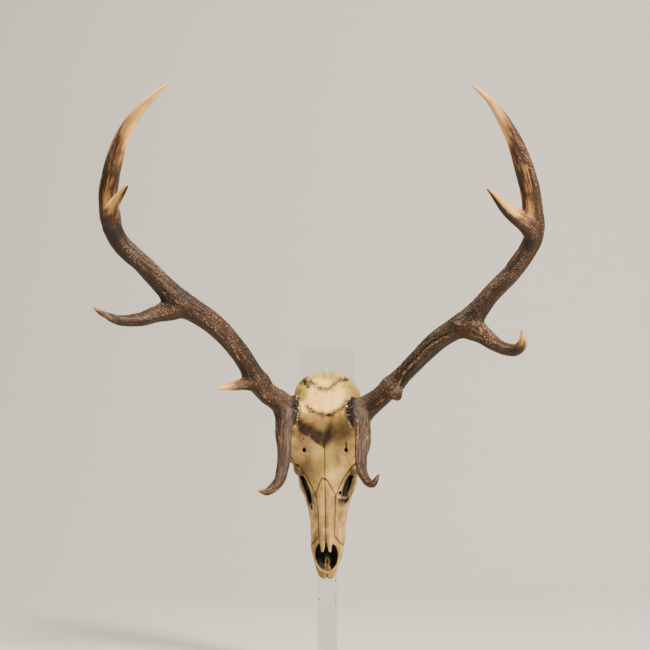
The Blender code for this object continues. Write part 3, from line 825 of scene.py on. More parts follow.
def bone_finish():
    """Dry bone: cream on the back of the head, tan on the face, brown seams and stains, and painted
    shade.
    """
    finish = Finish("bone")
    place = finish.place()
    cream = finish.attribute("cream")
    stain_and_shade = finish.attribute("stain_and_shade")
    seam = finish.attribute("seam")
    hollow = finish.attribute("hollow")
    edge = finish.attribute("edge")
    cloud = finish.noise(place, 38.0, 5.0)
    patches = finish.noise(place, 95.0, 4.0)
    grain = finish.noise(finish.stretched(place, (1, 1, 0.25)), 420.0, 3.0)

    face = finish.mixed(finish.ranged(cloud, 0.35, 0.66), (0.35, 0.195, 0.050), (0.62, 0.39, 0.130))
    pale = finish.mixed(finish.ranged(cloud, 0.35, 0.7), (0.92, 0.58, 0.125), (0.99, 0.72, 0.21))
    color = finish.mixed(cream, face, pale)
    specks = finish.math("MULTIPLY", finish.ranged(patches, 0.52, 0.72), 0.4)
    color = finish.mixed(specks, color, (0.26, 0.12, 0.032))
    # Paler on the outward bends of the bone
    color = finish.mixed(finish.math("MULTIPLY", edge, 0.45), color, (0.88, 0.64, 0.30))
    # Brown for the stains, and for the painted shade on the temples, eye sockets, gaps and right side
    blotted = finish.math("MULTIPLY", stain_and_shade, finish.ranged(patches, 0.25, 0.55, 0.8, 1.05))
    color = finish.mixed(blotted, color, (0.026, 0.0105, 0.0026))
    # Dark seams, and painted shade in the creases
    color = finish.mixed(seam, color, (0.036, 0.015, 0.0045))
    # Near-black painted shade in the hollows and pits
    color = finish.mixed(hollow, color, (0.006, 0.003, 0.0012))
    rise = finish.math("ADD", finish.math("MULTIPLY", grain, 0.6), finish.math("MULTIPLY", patches, 0.4))
    finish.bump(rise, 0.3, 0.0007)
    rough = finish.ranged(patches, 0.3, 0.7, 0.5, 0.66)
    return finish.done(Base_Color=color, Roughness=rough, Specular_IOR_Level=0.4)


def enamel_finish():
    """Tooth enamel with brown in its hollows."""
    finish = Finish("enamel")
    place = finish.place()
    cloud = finish.noise(finish.stretched(place, (1, 0.3, 1)), 160.0, 4.0)
    worn = finish.attribute("worn")
    color = finish.mixed(finish.ranged(cloud, 0.35, 0.65), (0.26, 0.15, 0.06), (0.66, 0.54, 0.36))
    color = finish.mixed(worn, color, (0.12, 0.06, 0.025))
    finish.bump(cloud, 0.25, 0.0005)
    return finish.done(Base_Color=color, Roughness=0.32)


def clear_finish():
    """Clear acrylic: see-through, with a few fine scuffs in its gloss."""
    finish = Finish("clear acrylic")
    scuffs = finish.noise(finish.stretched(finish.place(), (1, 1, 0.2)), 60.0, 5.0, 0.7)
    rough = finish.ranged(scuffs, 0.45, 0.85, 0.05, 0.15)
    return finish.done(Base_Color=(0.87, 0.94, 0.90), Roughness=rough, IOR=1.49, Transmission_Weight=1.0)


def sawn_finish():
    """The sawn edges of the acrylic, misty and pale green."""
    finish = Finish("sawn acrylic")
    marks = finish.noise(finish.stretched(finish.place(), (1, 1, 4)), 220.0, 3.0)
    color = finish.mixed(finish.ranged(marks, 0.3, 0.7), (0.50, 0.60, 0.44), (0.74, 0.80, 0.64))
    return finish.done(Base_Color=color, Roughness=0.45, IOR=1.49, Transmission_Weight=0.6)


def fleck_finish():
    """Small dark flecks at the strip's edges."""
    finish = Finish("fleck")
    mottled = finish.noise(finish.place(), 1500.0, 2.0)
    color = finish.mixed(mottled, (0.03, 0.02, 0.012), (0.10, 0.07, 0.04))
    return finish.done(Base_Color=color, Roughness=0.8)


def wire_finish():
    """Bright drawn steel."""
    finish = Finish("wire")
    drawn = finish.noise(finish.stretched(finish.place(), (1, 0.1, 1)), 2500.0, 2.0)
    rough = finish.ranged(drawn, 0.3, 0.7, 0.32, 0.48)
    return finish.done(Base_Color=(0.95, 0.94, 0.90), Roughness=rough, Metallic=1.0)


def blended(outside, out, width):
    """Forms run into each other: distance outside them all, the way out, and each one's share."""
    least = outside.min(axis=0)
    shares = np.exp(-(outside - least) / width)
    total = shares.sum(axis=0)
    way = (out * shares[..., None]).sum(axis=0)
    way /= np.maximum(np.linalg.norm(way, axis=1), 1e-9)[:, None]
    return least - width * np.log(total), way, shares / total


def turned_apart(first, second):
    """The difference between turns, from -pi to pi."""
    return (first - second + np.pi) % (2 * np.pi) - np.pi


class Antler:
    """One whole antler: its branches run softly into each other and stand on the burr."""

    def __init__(self, runs, rubbed, pale, lines, burr, leaves):
        self.names = list(runs)
        self.branches = []
        for name, run in runs.items():
            self.branches.append(Branch(in_metres(run), root=THIN_ROOTS.get(name, 1)))
        self.rubbed = rubbed
        self.crown_pale, self.most_bare = pale
        self.lines = lines
        self.axis = np.array(leaves)
        self.burr = np.array(burr) + self.axis * BURR_THICK * 0.7
        self.foot = np.array(burr)

    def ring(self, points):
        """The burr, a rough ring: distance outside it and the way out."""
        offset = points - self.burr
        rise = offset @ self.axis
        flat = offset - rise[:, None] * self.axis
        reach = np.linalg.norm(flat, axis=1)
        outward = flat / np.maximum(reach, 1e-9)[:, None]
        across = reach - BURR_RADIUS
        distance = np.hypot(across, rise)
        out = outward * across[:, None] + rise[:, None] * self.axis
        return distance - BURR_ROUND, out / np.maximum(distance, 1e-9)[:, None]

    def field(self, points):
        """Distance outside the whole antler, the way out, and each branch's share in it."""
        outside, out = zip(*(branch.around(points)[:2] for branch in self.branches))
        distance, way, shares = blended(np.stack(outside), np.stack(out), FORK_BLEND)
        ring, away = self.ring(points)
        distance, way, parts = blended(np.stack([distance, ring]), np.stack([way, away]), BURR_BLEND)
        return distance, way, np.vstack([shares * parts[0], parts[1:]])

    def across_burr(self, turn):
        """The direction straight out from the burr's axis at a turn round it."""
        turned = Vector(self.axis).to_track_quat("Z", "Y").to_matrix()
        return np.array(turned @ Vector((math.cos(turn), math.sin(turn), 0)))

    def ring_tube(self):
        """The burr's plain ring, for the first rough mesh."""
        rows = []
        for turn in 2 * np.pi * np.arange(49) / 48:
            rows.append((*(self.burr + self.across_burr(turn) * BURR_RADIUS), BURR_ROUND))
        return Branch(rows, 2).tube(20)

    def pearls(self):
        """The pearls round the burr, and each point's paleness from 0 to 1, partly a painted highlight.
        """
        shapes, tops = [], []
        for row, (rise, reach, radius, count) in enumerate(BURR_PEARLS):
            cells = np.stack([np.arange(count), np.full(count, row), np.full(count, 7)], axis=1)
            loose = hashed(cells, 23)
            for k in range(count):
                out = self.across_burr(2 * np.pi * (k + 0.5 * row + 0.5 * loose[k]) / count)
                middle = self.foot + out * (reach + loose[k]) * MM
                middle = middle + self.axis * (rise + 1.2 * loose[k]) * MM
                size = radius * (0.65 + 0.6 * loose[(k * 7) % count]) * MM
                bm = bmesh.new()
                bmesh.ops.create_icosphere(bm, subdivisions=2, radius=size)
                points, faces = taken(bm)
                bright = (1.0, 0.82, 0.6)[row] - 0.45 * loose[(k * 5) % count]
                # Paler toward each pearl's outer end, and paler on its side that faces front and up as a
                # painted highlight
                top = points @ (0.55 * out - 0.5 * self.axis + np.array((0, -0.5, 0.3))) / size
                tops.append(np.clip((top * 0.5 + 0.5) * bright, 0, 1))
                shapes.append((points + middle, faces))
        return shapes, np.concatenate(tops)

    def line_rise(self, name, share, turn, radius, length):
        """Height of the single ridges and grooves at each place of a branch."""
        height = np.zeros(len(share))
        places = np.stack([share * length, turn * 0, turn * 0], axis=1)
        astray = (cloudy(places / (11 * MM), 61) - 0.5) * 2.6 * MM
        uneven = 0.3 + 1.1 * cloudy(places / (5 * MM), 62)
        for (branch, rise, half_width), run in self.lines:
            if branch == name:
                shares, turns = np.array(run).T
                across = turned_apart(np.interp(share, shares, turns), turn) * radius + astray
                past = np.maximum(np.maximum(shares[0] - share, share - shares[-1]), 0) * length
                fade = np.exp(-((across / (half_width * MM * uneven)) ** 2) - (past / (6 * MM)) ** 2)
                height += rise * MM * uneven * fade
        return height

    def relief(self, branch, name, points):
        """One branch's surface: its rise, how pale it looks with painted light, grain, bareness,
        greyness and lines.
        """
        _, out, place, turn, radius = branch.around(points)
        grain = np.stack([np.cos(turn) * radius, np.sin(turn) * radius, place], axis=1)
        share = place / branch.length
        gutters = np.abs(2 * cloudy(grain / GUTTER_SIZE, 11) - 1)
        ridges = np.abs(2 * cloudy(grain / RIDGE_SIZE, 12) - 1)
        pearls = beads(grain / (KNOB_PEARL_SIZE if name == "knob" else PEARL_SIZE), 13)
        patches = cloudy(grain / PATCH_SIZE, 14)
        lines = self.line_rise(name, share, turn, radius, branch.length)

        start, full = self.rubbed[name]
        upper = step_between(-0.55, 0.3, out[:, 2] - 0.35 * out[:, 1])
        if name == "beam":
            inner = -out[:, 0] * np.sign(self.foot[0])
            worn = step_between(start, full, share + 0.05 * inner)
            far = ((share - CREAM_PATCH[0]) / 0.035) ** 2
            far += (turned_apart(turn, CREAM_PATCH[1]) * radius / (7 * MM)) ** 2
            worn = np.maximum(worn, 0.62 * np.exp(-far))
            grey = 0.5 * step_between(0.16, 0.02, share)
            # Painted shade under the crown tine: the beam's inner and front side there sinks through its
            # lines and so is painted near-black
            dark = np.exp(-(((share - 0.62) / 0.035) ** 2))
            lines -= LINE_RISE * dark * step_between(-0.6, 0.2, inner - 0.3 * out[:, 1])
        elif name == "crown_tine":
            worn = step_between(start, full, share)
            # Only the upper side turns ivory: rubbed tips, with painted light on top and painted shade
            # under them
            worn *= step_between(*self.crown_pale, out[:, 2] - 0.2 * out[:, 1])
            grey = np.zeros(len(share))
        else:
            worn = step_between(start, full, share)
            grey = float(name == "brow_tine") * step_between(0.9, 0.6, share)
        rough = 1 - step_between(start * 0.85, full, share)
        pearled = upper * (0.55 + 0.45 * step_between(0.3, 0.6, patches)) * (1 - 0.75 * grey)
        if name == "trez_tine":
            pearled *= 1 - 0.75 * step_between(0.2, 0.45, share)
        if name == "beam":
            pearled *= 1 - 0.6 * step_between(0.45, 0.62, share)
            faint = 0.3 * step_between(0.5, 0.72, share) * step_between(0.3, 0.6, patches)
            worn = np.maximum(worn, faint)
        worn = np.minimum(worn, self.most_bare)
        height = (
            -GUTTER_DEPTH * (1 - step_between(0, 0.30, gutters)) * (0.35 + 0.65 * rough)
            - RIDGE_DEPTH * (1 - step_between(0, 0.35, ridges)) * rough
            + PEARL_RISE * pearls * pearled * rough
            + lines
        )
        long_ones = step_between(0, 0.3, gutters) * (0.35 + 0.65 * step_between(0, 0.4, ridges))
        # The ridges look paler on the upper and front side: painted light
        look = (0.62 - 0.3 * pearled) * long_ones * (0.25 + 0.75 * upper)
        look += (0.1 + 0.5 * pearled) * pearls
        return height, look, grain, worn, grey, lines / LINE_RISE

    def dressed(self, mesh, tops):
        """Moves the mesh's vertices onto the rough surface and stores what the finish reads."""
        places = vertex_places(mesh)
        plain = len(places) - len(tops)
        points = places[:plain]
        _, way, shares = self.field(points)
        height, look, bare, grey, lines = np.zeros((5, plain))
        grain = places.copy()
        strongest = shares[:-1].argmax(axis=0)
        for k, (name, branch) in enumerate(zip(self.names, self.branches)):
            near = shares[k] > 0.01
            found = self.relief(branch, name, points[near])
            for total, part in zip((height, look, bare, grey, lines), found[:2] + found[3:]):
                total[near] += part * shares[k][near]
            own = strongest[near] == k
            grain[np.flatnonzero(near)[own]] = found[2][own] + k * 0.7
        collar = shares[-1]
        rise = (points - self.foot) @ self.axis
        close = np.linalg.norm(points - self.foot, axis=1) < 40 * MM
        low = close * step_between(19 * MM, 9 * MM, rise)
        ringed = np.maximum(step_between(0.2, 0.6, collar), 0.9 * low)
        knots = beads((points - self.burr) / BURR_KNOT_SIZE, 21)
        height += collar * (1.6 * MM * knots - 0.8 * MM)
        look = look * (1 - ringed) + 0.6 * ringed * knots
        height *= step_between(0.2 * MM, 2.5 * MM, rise + 1000 * (np.abs(rise) > 30 * MM))
        places[:plain] += way * height[:, None]
        move_vertices(mesh, places)
        none = np.zeros(len(tops))
        fields = {
            "relief": (look, tops),
            "bare": (bare, none),
            "grey": (grey, none),
            "lines": (lines, none),
            "collar": (ringed, none + 1),
        }
        for name, parts in fields.items():
            store(mesh, name, np.concatenate(parts))
        store(mesh, "grain", grain)


def mesh_shape(mesh):
    return vertex_places(mesh), [tuple(face.vertices) for face in mesh.polygons]


def cut_foot(piece, antler):
    """Cuts the antler off flat where its burr ends."""
    drum = bmesh.new()
    reach = 45 * MM
    depth = 40 * MM
    leaves = Vector(antler.axis)
    turned = leaves.to_track_quat("Z", "Y").to_matrix().to_4x4()
    place = Matrix.Translation(Vector(antler.foot) - leaves * depth / 2) @ turned
    sizes = {"radius1": reach, "radius2": reach, "depth": depth}
    bmesh.ops.create_cone(drum, cap_ends=True, segments=64, matrix=place, **sizes)
    cutter = new_object("drum", [], [])
    drum.to_mesh(cutter.data)
    drum.free()
    cut_away(piece, cutter)


def build_antler(hand, antler, finish):
    """One whole antler as a fine mesh, cut off flat at its burr, with its pearls."""
    shapes = [branch.tube() for branch in antler.branches] + [antler.ring_tube()]
    rough = joined_object("rough_antler", shapes)
    remeshed(rough, ANTLER_VOXEL)
    applied(rough)
    edges = mesh_edges(rough.data)
    points = vertex_places(rough.data)
    for _ in range(3):
        points += 0.5 * (neighbours_mean(points, edges) - points)
        distance, way, _ = antler.field(points)
        points -= way * np.clip(distance, -6 * MM, 6 * MM)[:, None]
    move_vertices(rough.data, points)
    cut_foot(rough, antler)
    pearls, tops = antler.pearls()
    piece = joined_object(f"{hand}_antler", [mesh_shape(rough.data)] + pearls)
    bpy.data.objects.remove(rough, do_unlink=True)
    antler.dressed(piece.data, tops)
    named = [name for name in antler.names if name != "knob"] + ["top_tine"]
    return dress(piece, finish, "antler", *(f"{hand}_antler_{name}" for name in named))


def dress(piece, finish, slot, *nodes):
    """Gives a finished piece its material and ties it to the solids that it stands for."""
    piece.data.materials.clear()
    piece.data.materials.append(finish)
    piece.data.shade_smooth()
    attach(piece, "root")
    if nodes:
        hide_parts(*nodes)
    return piece


def upper_surface(height):
    """Depth of the skull's upper side on the middle line, in millimetres."""
    heights, tops = np.array(SKULL_SECTIONS, float)[:, :2].T
    return np.interp(height, heights, tops)


def skull_places(rows):
    """Places in metres from rows of side, height and depth on the skull."""
    side, height, depth = np.asarray(rows, float).reshape(-1, 3).T
    turned = side + SKULL_TURN * (upper_surface(height) - depth)
    return np.stack([turned * MM, PLATE_FACE_Y - depth * MM, NOSE_TIP_Z + height * MM], axis=1)


def skull_rows(points):
    """Side, height and depth on the skull, in millimetres, from places in metres."""
    height = (points[:, 2] - NOSE_TIP_Z) / MM
    depth = (PLATE_FACE_Y - points[:, 1]) / MM
    side = points[:, 0] / MM - SKULL_TURN * (upper_surface(height) - depth)
    return np.stack([side, height, depth], axis=1)


def bar(run, away):
    """A bar of bone along a run on the skull."""
    rows = np.array(run, float)
    places = skull_places(rows[:, :3] * (away, 1, 1))
    return Branch(np.column_stack([places, rows[:, 3] * MM]), 8).tube(20)


def egg(center, half_sizes, lean=0.0, away=1):
    """Points and faces of an egg shape on the skull."""
    bm = bmesh.new()
    side, height, depth = half_sizes
    middle = Vector(skull_places((center[0] * away, center[1], center[2]))[0])
    place = (
        Matrix.Translation(middle)
        @ Matrix.Rotation(math.radians(lean) * away, 4, "Y")
        @ Matrix.Diagonal(Vector((side, depth, height, 1 / MM)) * MM)
    )
    bmesh.ops.create_uvsphere(bm, u_segments=40, v_segments=24, radius=1, matrix=place)
    return taken(bm)


def section_outline(section):
    """Places round one cross section of the skull."""
    height, top, top_half, wide, wide_depth, base_half, base = section
    half = [(0, top), (top_half, top - 2), (wide, wide_depth), (base_half, base)]
    corners = half + [(0, base + 2)] + [(-x, depth) for x, depth in reversed(half[1:])]
    closed = np.array(corners[-1:] + corners + corners[:2], float)
    per_step = SECTION_POINTS // len(corners)
    ring = through_points(closed, per_step)[per_step : per_step * (len(corners) + 1)]
    return skull_places([(side, height, depth) for side, depth in ring])


def skull_loft():
    """Points and faces of the skull's main form."""
    sections = through_points(SKULL_SECTIONS, 8)
    outlines = [section_outline(row) for row in sections]
    return np.vstack(outlines), ring_faces(len(outlines), len(outlines[0]))


def pedicle(away, burr, leaves):
    """The stalk of bone that an antler stands on."""
    root = skull_places((PEDICLE_ROOT[0] * away, *PEDICLE_ROOT[1:]))[0]
    end = np.array(burr + leaves * 4 * MM)
    middle = (root + end) / 2
    return Branch([(*root, 30 * MM), (*middle, 24 * MM), (*end, 20.5 * MM)], 6).tube(40)


def burr_seat(burr, leaves):
    """A drum that cuts the bone off flat where the burr begins."""
    start = np.array(burr)
    end = np.array(burr + leaves * 40 * MM)
    middle = (start + end) / 2
    return Branch([(*start, 33 * MM), (*middle, 33 * MM), (*end, 33 * MM)], 2).tube(48)


def run_distance(flat, run):
    """Distance from each flat place to the nearest point of a run."""
    nearest = np.full(len(flat), 99.0)
    for start, end in zip(np.array(run, float), np.array(run[1:], float)):
        span = end - start
        share = np.clip(((flat - start) @ span) / (span @ span), 0, 1)
        nearest = np.minimum(nearest, np.linalg.norm(flat - start - share[:, None] * span, axis=1))
    return nearest


def wandering(rows, lump, reach):
    """The side and height of each place, led astray a little so that lines drawn there wander."""
    astray = np.stack([cloudy(rows / lump, seed) - 0.5 for seed in (31, 32)], axis=1)
    return rows[:, :2] + astray * 2 * reach


def build_skull(finish):
    """The upper skull: its main form, its hollows, its thin bones and then its fine relief."""
    shapes = [skull_loft()]
    for away, burr, leaves in ((-1, RIGHT_BURR, RIGHT_LEAVES), (1, LEFT_BURR, LEFT_LEAVES)):
        shapes += [egg(center, half_sizes, away=away) for center, half_sizes in SKULL_LUMPS]
        shapes += [bar(run, away) for run in SKULL_BARS.values()]
        shapes.append(pedicle(away, burr, leaves))
    piece = joined_object("upper_skull", shapes)
    voxel = max(BONE_VOXEL, 2.0 * MM)
    remeshed(piece, voxel)
    softened(piece, round(6 * (3.5 * MM / voxel) ** 2))
    applied(piece)
    whole = BVHTree.FromPolygons(*(list(part) for part in mesh_shape(piece.data)))
    cutters = [egg(*row) for row in MIDDLE_HOLLOWS]
    for away in (-1, 1):
        cutters += [egg(center, half_sizes, lean, away) for center, half_sizes, lean in SIDE_HOLLOWS]
    cutters += [egg(*row) for row in GAP_HOLLOWS]
    for shape in cutters:
        cut_away(piece, new_object("hollow", *shape))
    bars = [bar(run, away) for run in NOSE_BARS for away in (-1, 1)] + [bar(GAP_BRIDGE, 1)]
    body = mesh_shape(piece.data)
    bpy.data.objects.remove(piece, do_unlink=True)
    piece = joined_object("upper_skull", [body] + bars)
    remeshed(piece, BONE_VOXEL)
    softened(piece, round(3 * (2.45 * MM / BONE_VOXEL) ** 2))
    applied(piece)
    for burr, leaves in ((RIGHT_BURR, RIGHT_LEAVES), (LEFT_BURR, LEFT_LEAVES)):
        cut_away(piece, new_object("seat", *burr_seat(burr, leaves)))
    roughen_skull(piece.data)
    thin_to(piece, BONE_FACES)
    mark_skull(piece.data, whole)
    return dress(piece, finish, "bone", "skull")


def thin_to(piece, most):
    """Thins a mesh until it has the given number of triangles."""
    piece.data.calc_loop_triangles()
    count = len(piece.data.loop_triangles)
    if count > most:
        step = piece.modifiers.new("thin", "DECIMATE")
        step.ratio = most / count
        applied(piece)


def seam_depth(rows, normals):
    """How strongly each place is in a seam, from 0 to 1, on the upper side only."""
    flat = wandering(rows, 4.5, 0.5)
    nearest = np.min([run_distance(flat, seam) for seam in FACE_SEAMS], axis=0)
    nearest /= 0.6 + 0.9 * cloudy(rows / 9, 33)
    return step_between(0.05, -0.25, normals[:, 1]) * step_between(1.7, 0.4, nearest)


def midline(rows, normals):
    """How strongly each place is in the straight seam down the middle of the face."""
    side, height, _ = rows.T
    long_way = step_between(MIDLINE_TOP + 8, MIDLINE_TOP - 8, height) * step_between(58, 64, height)
    upper = step_between(0.05, -0.25, normals[:, 1])
    return step_between(1.25, 0.35, np.abs(side + 0.5)) * long_way * upper


def roughen_skull(mesh):
    """Gives the bone its small lumps, seams and pits."""
    points = vertex_places(mesh)
    normals = vertex_normals(mesh)
    rows = skull_rows(points)
    side, tall, _ = rows.T
    upper = step_between(0.05, -0.25, normals[:, 1])
    rise = 0.9 * (cloudy(rows / 11, 41) - 0.5) + 0.5 * (cloudy(rows / 4, 42) - 0.5)
    rise -= 0.9 * seam_depth(rows, normals) + 1.2 * midline(rows, normals)
    strips = np.exp(-(((np.abs(side) - NASAL_MIDDLE) / 5) ** 2))
    rise += strips * step_between(60, 80, tall) * step_between(190, 160, tall)
    rise -= 1.6 * pits(rows) * upper
    flat = wandering(rows, 4.5, 3.5)
    for run, half_width in ((NUCHAL_SEAM, 2), (CORONAL_SEAM, 1.6)):
        rise -= 0.7 * np.exp(-((run_distance(flat, run) / half_width) ** 2)) * upper
    move_vertices(mesh, points + normals * rise[:, None] * MM)


def pits(rows):
    """How strongly each place is in one of the small pits."""
    found = np.zeros(len(rows))
    for side, height, half_width, half_height in PITS:
        reach = np.hypot((rows[:, 0] - side) / half_width, (rows[:, 1] - height) / half_height)
        found = np.maximum(found, step_between(1.15, 0.55, reach))
    return found


def brow_stain(rows):
    """The brown stain between the burrs, a V that is darkest on the animal's right."""
    side, height, _ = rows.T
    uneven = (cloudy(rows / 14, 51) - 0.5) * 12
    over = height - (255 + 0.57 * np.abs(side)) + uneven * 0.5
    right = step_between(-3, 4, over) * step_between(58, 20, over + uneven * 0.5)
    over = height - (262 + 0.3 * side) + uneven
    left = step_between(-12, 14, over) * step_between(54, 20, over)
    left *= 0.7 + 0.3 * step_between(20, 8, side)
    share = step_between(-2, 4, side)
    return (right * (1 - share) + left * share) * step_between(60, 44, np.abs(side))


def mark_skull(mesh, whole):
    """Stores where the bone is cream, stained, seamed or paler at its edges, and its painted shade."""
    points = vertex_places(mesh)
    normals = vertex_normals(mesh)
    edges = mesh_edges(mesh)
    rows = skull_rows(points)
    side, height, _ = rows.T
    front = step_between(0.1, -0.4, normals[:, 1])
    found = [whole.find_nearest(point)[:2] for point in points.tolist()]
    surface, outward = (np.array(part) for part in zip(*found))
    buried = ((surface - points) * outward).sum(axis=1) / MM
    bend = ((neighbours_mean(points, edges) - points) * normals).sum(axis=1) / MM
    bend = neighbours_mean(neighbours_mean(bend[:, None], edges), edges)[:, 0]
    uneven = (cloudy(rows / 14, 51) - 0.5) * 9

    cream = step_between(316, 324, height + uneven) * step_between(400, 386, height)
    middle = 0.75 * step_between(24, 8, np.abs(side)) * step_between(150, 205, height)
    cream = np.maximum(cream, middle * step_between(300, 262, height))
    bands = np.zeros(len(rows))
    flat = wandering(rows, 4, 2.5)
    for (half_width, strength), run in BROWN_BANDS:
        bands = np.maximum(bands, strength * np.exp(-((run_distance(flat, run) / half_width) ** 2)))
    # Painted shade on the braincase's sides, more on the animal's right
    temple_shade = 0.5 * step_between(33, 45, np.abs(side)) * step_between(300, 330, height)
    temple_shade += 0.35 * step_between(-22, -38, side) * step_between(340, 356, height)
    # Painted shade round the eye sockets and along the gaps in front of the eyes
    socket_and_gap_shade = 0.85 * step_between(58, 66, np.abs(side))
    socket_and_gap_shade *= step_between(210, 225, height) * step_between(306, 296, height)
    wedge = np.abs(np.abs(side) - np.interp(height, (140, 176, 212), (29, 38, 52)))
    gap_shade = 0.8 * step_between(13, 6, wedge + uneven * 1.4) * step_between(132, 150, height)
    socket_and_gap_shade = np.maximum(socket_and_gap_shade, gap_shade * step_between(228, 212, height))
    # Painted shade over the face on the animal's right, most on its outer side
    right_side_shade = 0.24 * step_between(4, -8, side)
    right_side_shade += 0.3 * step_between(-18, -30, side) * step_between(200, 220, height)
    right_side_shade *= step_between(304, 286, height)
    crest = 0.14 * step_between(376, 392, height + uneven * 0.4)
    temple_shade *= 0.4 + 0.6 * cloudy(rows / 9, 52)
    bands *= 0.6 + 0.4 * step_between(0.25, 0.6, cloudy(rows / 2.6, 53))
    # Real stains and painted shade together
    stain_and_shade = np.max([bands, temple_shade, crest, right_side_shade, brow_stain(rows)], axis=0) * front
    stain_and_shade = np.maximum(stain_and_shade, socket_and_gap_shade)
    # Dark seams, and painted shade where the bone bends inward
    seam = 0.85 * seam_depth(rows, normals) + 0.5 * step_between(0.02, 0.12, bend)
    seam = np.maximum(seam, midline(rows, normals))
    store(mesh, "cream", cream * front)
    store(mesh, "stain_and_shade", np.clip(stain_and_shade, 0, 1))
    store(mesh, "seam", np.clip(seam, 0, 1))
    # Painted shade: near-black deep below the uncut surface and in the pits, a little less on the nose
    # rods
    rods = step_between(8, 6, np.abs(side)) * step_between(52, 26, height) * front
    hollow_shade = step_between(1.0, 4, buried) * (1 - 0.4 * rods)
    store(mesh, "hollow", np.maximum(hollow_shade, 0.9 * pits(rows) * front))
    # Paler where the bone bends outward
    store(mesh, "edge", step_between(0.02, 0.14, -bend))


def build_tooth(hand, away, name, height, side, length, width, lobes, finish):
    """A grinding tooth: folded side walls and crescents worn into its crown."""
    count = 40
    turns = 2 * np.pi * (np.arange(count) + 0.5) / count
    along = np.sin(turns) * length / 2
    waist = 1 - 0.25 * (lobes - 1) * np.exp(-((along / (0.16 * length)) ** 2))
    across = np.copysign(np.abs(np.cos(turns)) ** 0.6, np.cos(turns)) * width / 2 * waist
    folds = 1 + 0.05 * np.cos(turns * (4 + 2 * lobes))
    levels = (
        (TOOTH_TIP + TOOTH_HEIGHT, 0.92, 0),
        (TOOTH_TIP + 9, 0.95, 0),
        (TOOTH_TIP + 3, 1.0, 0),
        (TOOTH_TIP + 0.8, 0.94, 0),
        (TOOTH_TIP, 0.86, 0),
        (TOOTH_TIP + 0.6, 0.76, 0.5),
        (TOOTH_TIP + 2.4, 0.62, 1),
        (TOOTH_TIP + 2.6, 0.5, 1),
        (TOOTH_TIP + 0.7, 0.36, 0.2),
        (TOOTH_TIP + 0.9, 0.18, 0.2),
    )
    rows, worn = [], []
    for depth, share, dark in levels:
        ring = np.stack([side * away + across * share * folds, height + along * share * folds], axis=1)
        rows += [(x, z, depth) for x, z in ring]
        worn += [dark] * count
    node = f"{hand}_{name}"
    tooth = new_object(f"{node}_tooth", skull_places(rows), ring_faces(len(levels), count))
    store(tooth.data, "worn", np.array(worn, float))
    return dress(tooth, finish, "enamel", node)


def build_sheet(node, name, *finishes):
    """A clear sheet like its solid, with its sawn edges broken a little."""
    sheet = bpy.data.objects.new(name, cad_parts[node].data.copy())
    bpy.context.scene.collection.objects.link(sheet)
    bm = bmesh.new()
    bm.from_mesh(sheet.data)
    bmesh.ops.remove_doubles(bm, verts=bm.verts, dist=0.01 * MM)
    bmesh.ops.dissolve_limit(bm, angle_limit=math.radians(1), verts=bm.verts, edges=bm.edges)
    bm.to_mesh(sheet.data)
    bm.free()
    step = sheet.modifiers.new("broken edge", "BEVEL")
    step.width = 1.3 * MM
    step.segments = 3
    step.limit_method = "ANGLE"
    step.angle_limit = math.radians(40)
    applied(sheet)
    dress(sheet, finishes[0], "clear", node)
    for finish in finishes[1:]:
        sheet.data.materials.append(finish)
        for face in sheet.data.polygons:
            face.material_index = int(abs(face.normal.y) < 0.8)
    return sheet


def build_flecks(finish):
    """Small dark flecks along the edges of the strip."""
    shapes = []
    for k, (x, z) in enumerate(FLECKS):
        bm = bmesh.new()
        place = Matrix.Translation((x * MM, PLATE_FACE_Y - 0.25 * MM, z * MM))
        size = Matrix.Diagonal((1.1 * MM, 0.25 * MM, (1.1 + 0.5 * (k % 3)) * MM, 1))
        bmesh.ops.create_icosphere(bm, subdivisions=2, radius=1, matrix=place @ size)
        shapes.append(taken(bm))
    return dress(joined_object("strip_flecks", shapes), finish, "clear")


def build_hook(finish):
    """The wire hook that runs over the back of the skull."""
    low, high = (Vector(corner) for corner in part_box("wire_hook"))
    side = (low.x + high.x) / 2
    reach = high.y - low.y
    rows = (
        (high.y, high.z - 1.5 * MM),
        (high.y - reach * 0.45, high.z - 1.2 * MM),
        (low.y + 10 * MM, high.z - 2.5 * MM),
        (low.y + 3 * MM, high.z - 6 * MM),
        (low.y + 1.2 * MM, low.z + 0.5 * MM),
    )
    hook = new_object("crest_hook", *Branch([(side, *row, WIRE_RADIUS) for row in rows], 14).tube(18))
    return dress(hook, finish, "wire", "wire_hook")


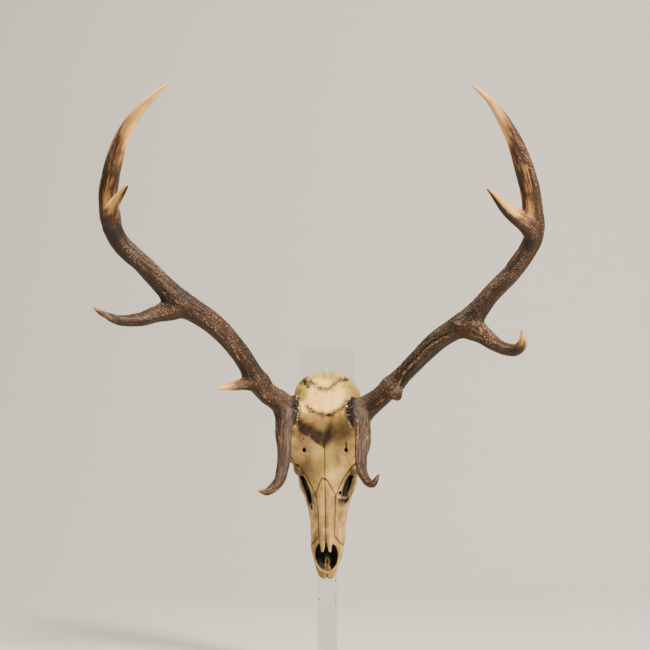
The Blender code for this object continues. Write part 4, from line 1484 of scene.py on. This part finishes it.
def build_stage():
    """A pale floor that sweeps up behind the object."""
    profile = [(FLOOR_FRONT, 0.0), (FLOOR_SWEEP, 0.0)]
    for k in range(1, 17):
        turn = math.pi / 2 * k / 16
        profile.append((FLOOR_SWEEP * (1 + math.sin(turn)), FLOOR_SWEEP * (1 - math.cos(turn))))
    profile.append((2 * FLOOR_SWEEP, FLOOR_TOP))
    points = [(x, y, z - FLOOR_DROP) for x in (-FLOOR_HALF, FLOOR_HALF) for y, z in profile]
    count = len(profile)
    faces = [(k, k + 1, count + k + 1, count + k) for k in range(count - 1)]
    floor = new_object("pale_floor", points, faces)
    floor.data.shade_smooth()
    finish = Finish("pale floor")
    floor.data.materials.append(finish.done(Base_Color=(0.62, 0.61, 0.58), Roughness=0.9))


def add_light(name, place, target, size, power, color):
    light = bpy.data.lights.new(name, "AREA")
    light.size = size
    light.energy = power
    light.color = color
    holder = bpy.data.objects.new(name, light)
    bpy.context.scene.collection.objects.link(holder)
    holder.location = place
    holder.rotation_euler = (Vector(target) - Vector(place)).to_track_quat("-Z", "Y").to_euler()


def build_lights():
    for name, row in LIGHTS.items():
        add_light(name, *row)
    world = bpy.data.worlds.new("studio")
    world.use_nodes = True
    sky = world.node_tree.nodes["Background"].inputs
    sky["Color"].default_value = SKY_COLOR
    sky["Strength"].default_value = SKY_STRENGTH
    bpy.context.scene.world = world


def build_camera():
    camera = bpy.data.cameras.new("camera")
    camera.sensor_width = 36
    camera.lens = 18 / math.tan(math.radians(CAMERA_SEES / 2))
    holder = bpy.data.objects.new("camera", camera)
    bpy.context.scene.collection.objects.link(holder)
    holder.location = CAMERA_PLACE
    turn = math.radians(CAMERA_TURN)
    ahead = Vector((-math.sin(turn), math.cos(turn), 0))
    holder.rotation_euler = ahead.to_track_quat("-Z", "Y").to_euler()
    bpy.context.scene.camera = holder


def main():
    horn = antler_finish()
    right = Antler(RIGHT_ANTLER, RIGHT_RUBBED, RIGHT_PALE, RIGHT_LINES, RIGHT_BURR, RIGHT_LEAVES)
    build_antler("right", right, horn)
    left = Antler(LEFT_ANTLER, LEFT_RUBBED, LEFT_PALE, LEFT_LINES, LEFT_BURR, LEFT_LEAVES)
    build_antler("left", left, horn)
    build_skull(bone_finish())
    enamel = enamel_finish()
    for away, hand in ((-1, "right"), (1, "left")):
        for row in TEETH:
            build_tooth(hand, away, *row, enamel)
    clear = clear_finish()
    build_sheet("back_plate", "clear_back_plate", clear, sawn_finish())
    build_flecks(fleck_finish())
    build_sheet("foot", "clear_foot", clear)
    build_hook(wire_finish())
    build_stage()
    build_lights()
    build_camera()


main()
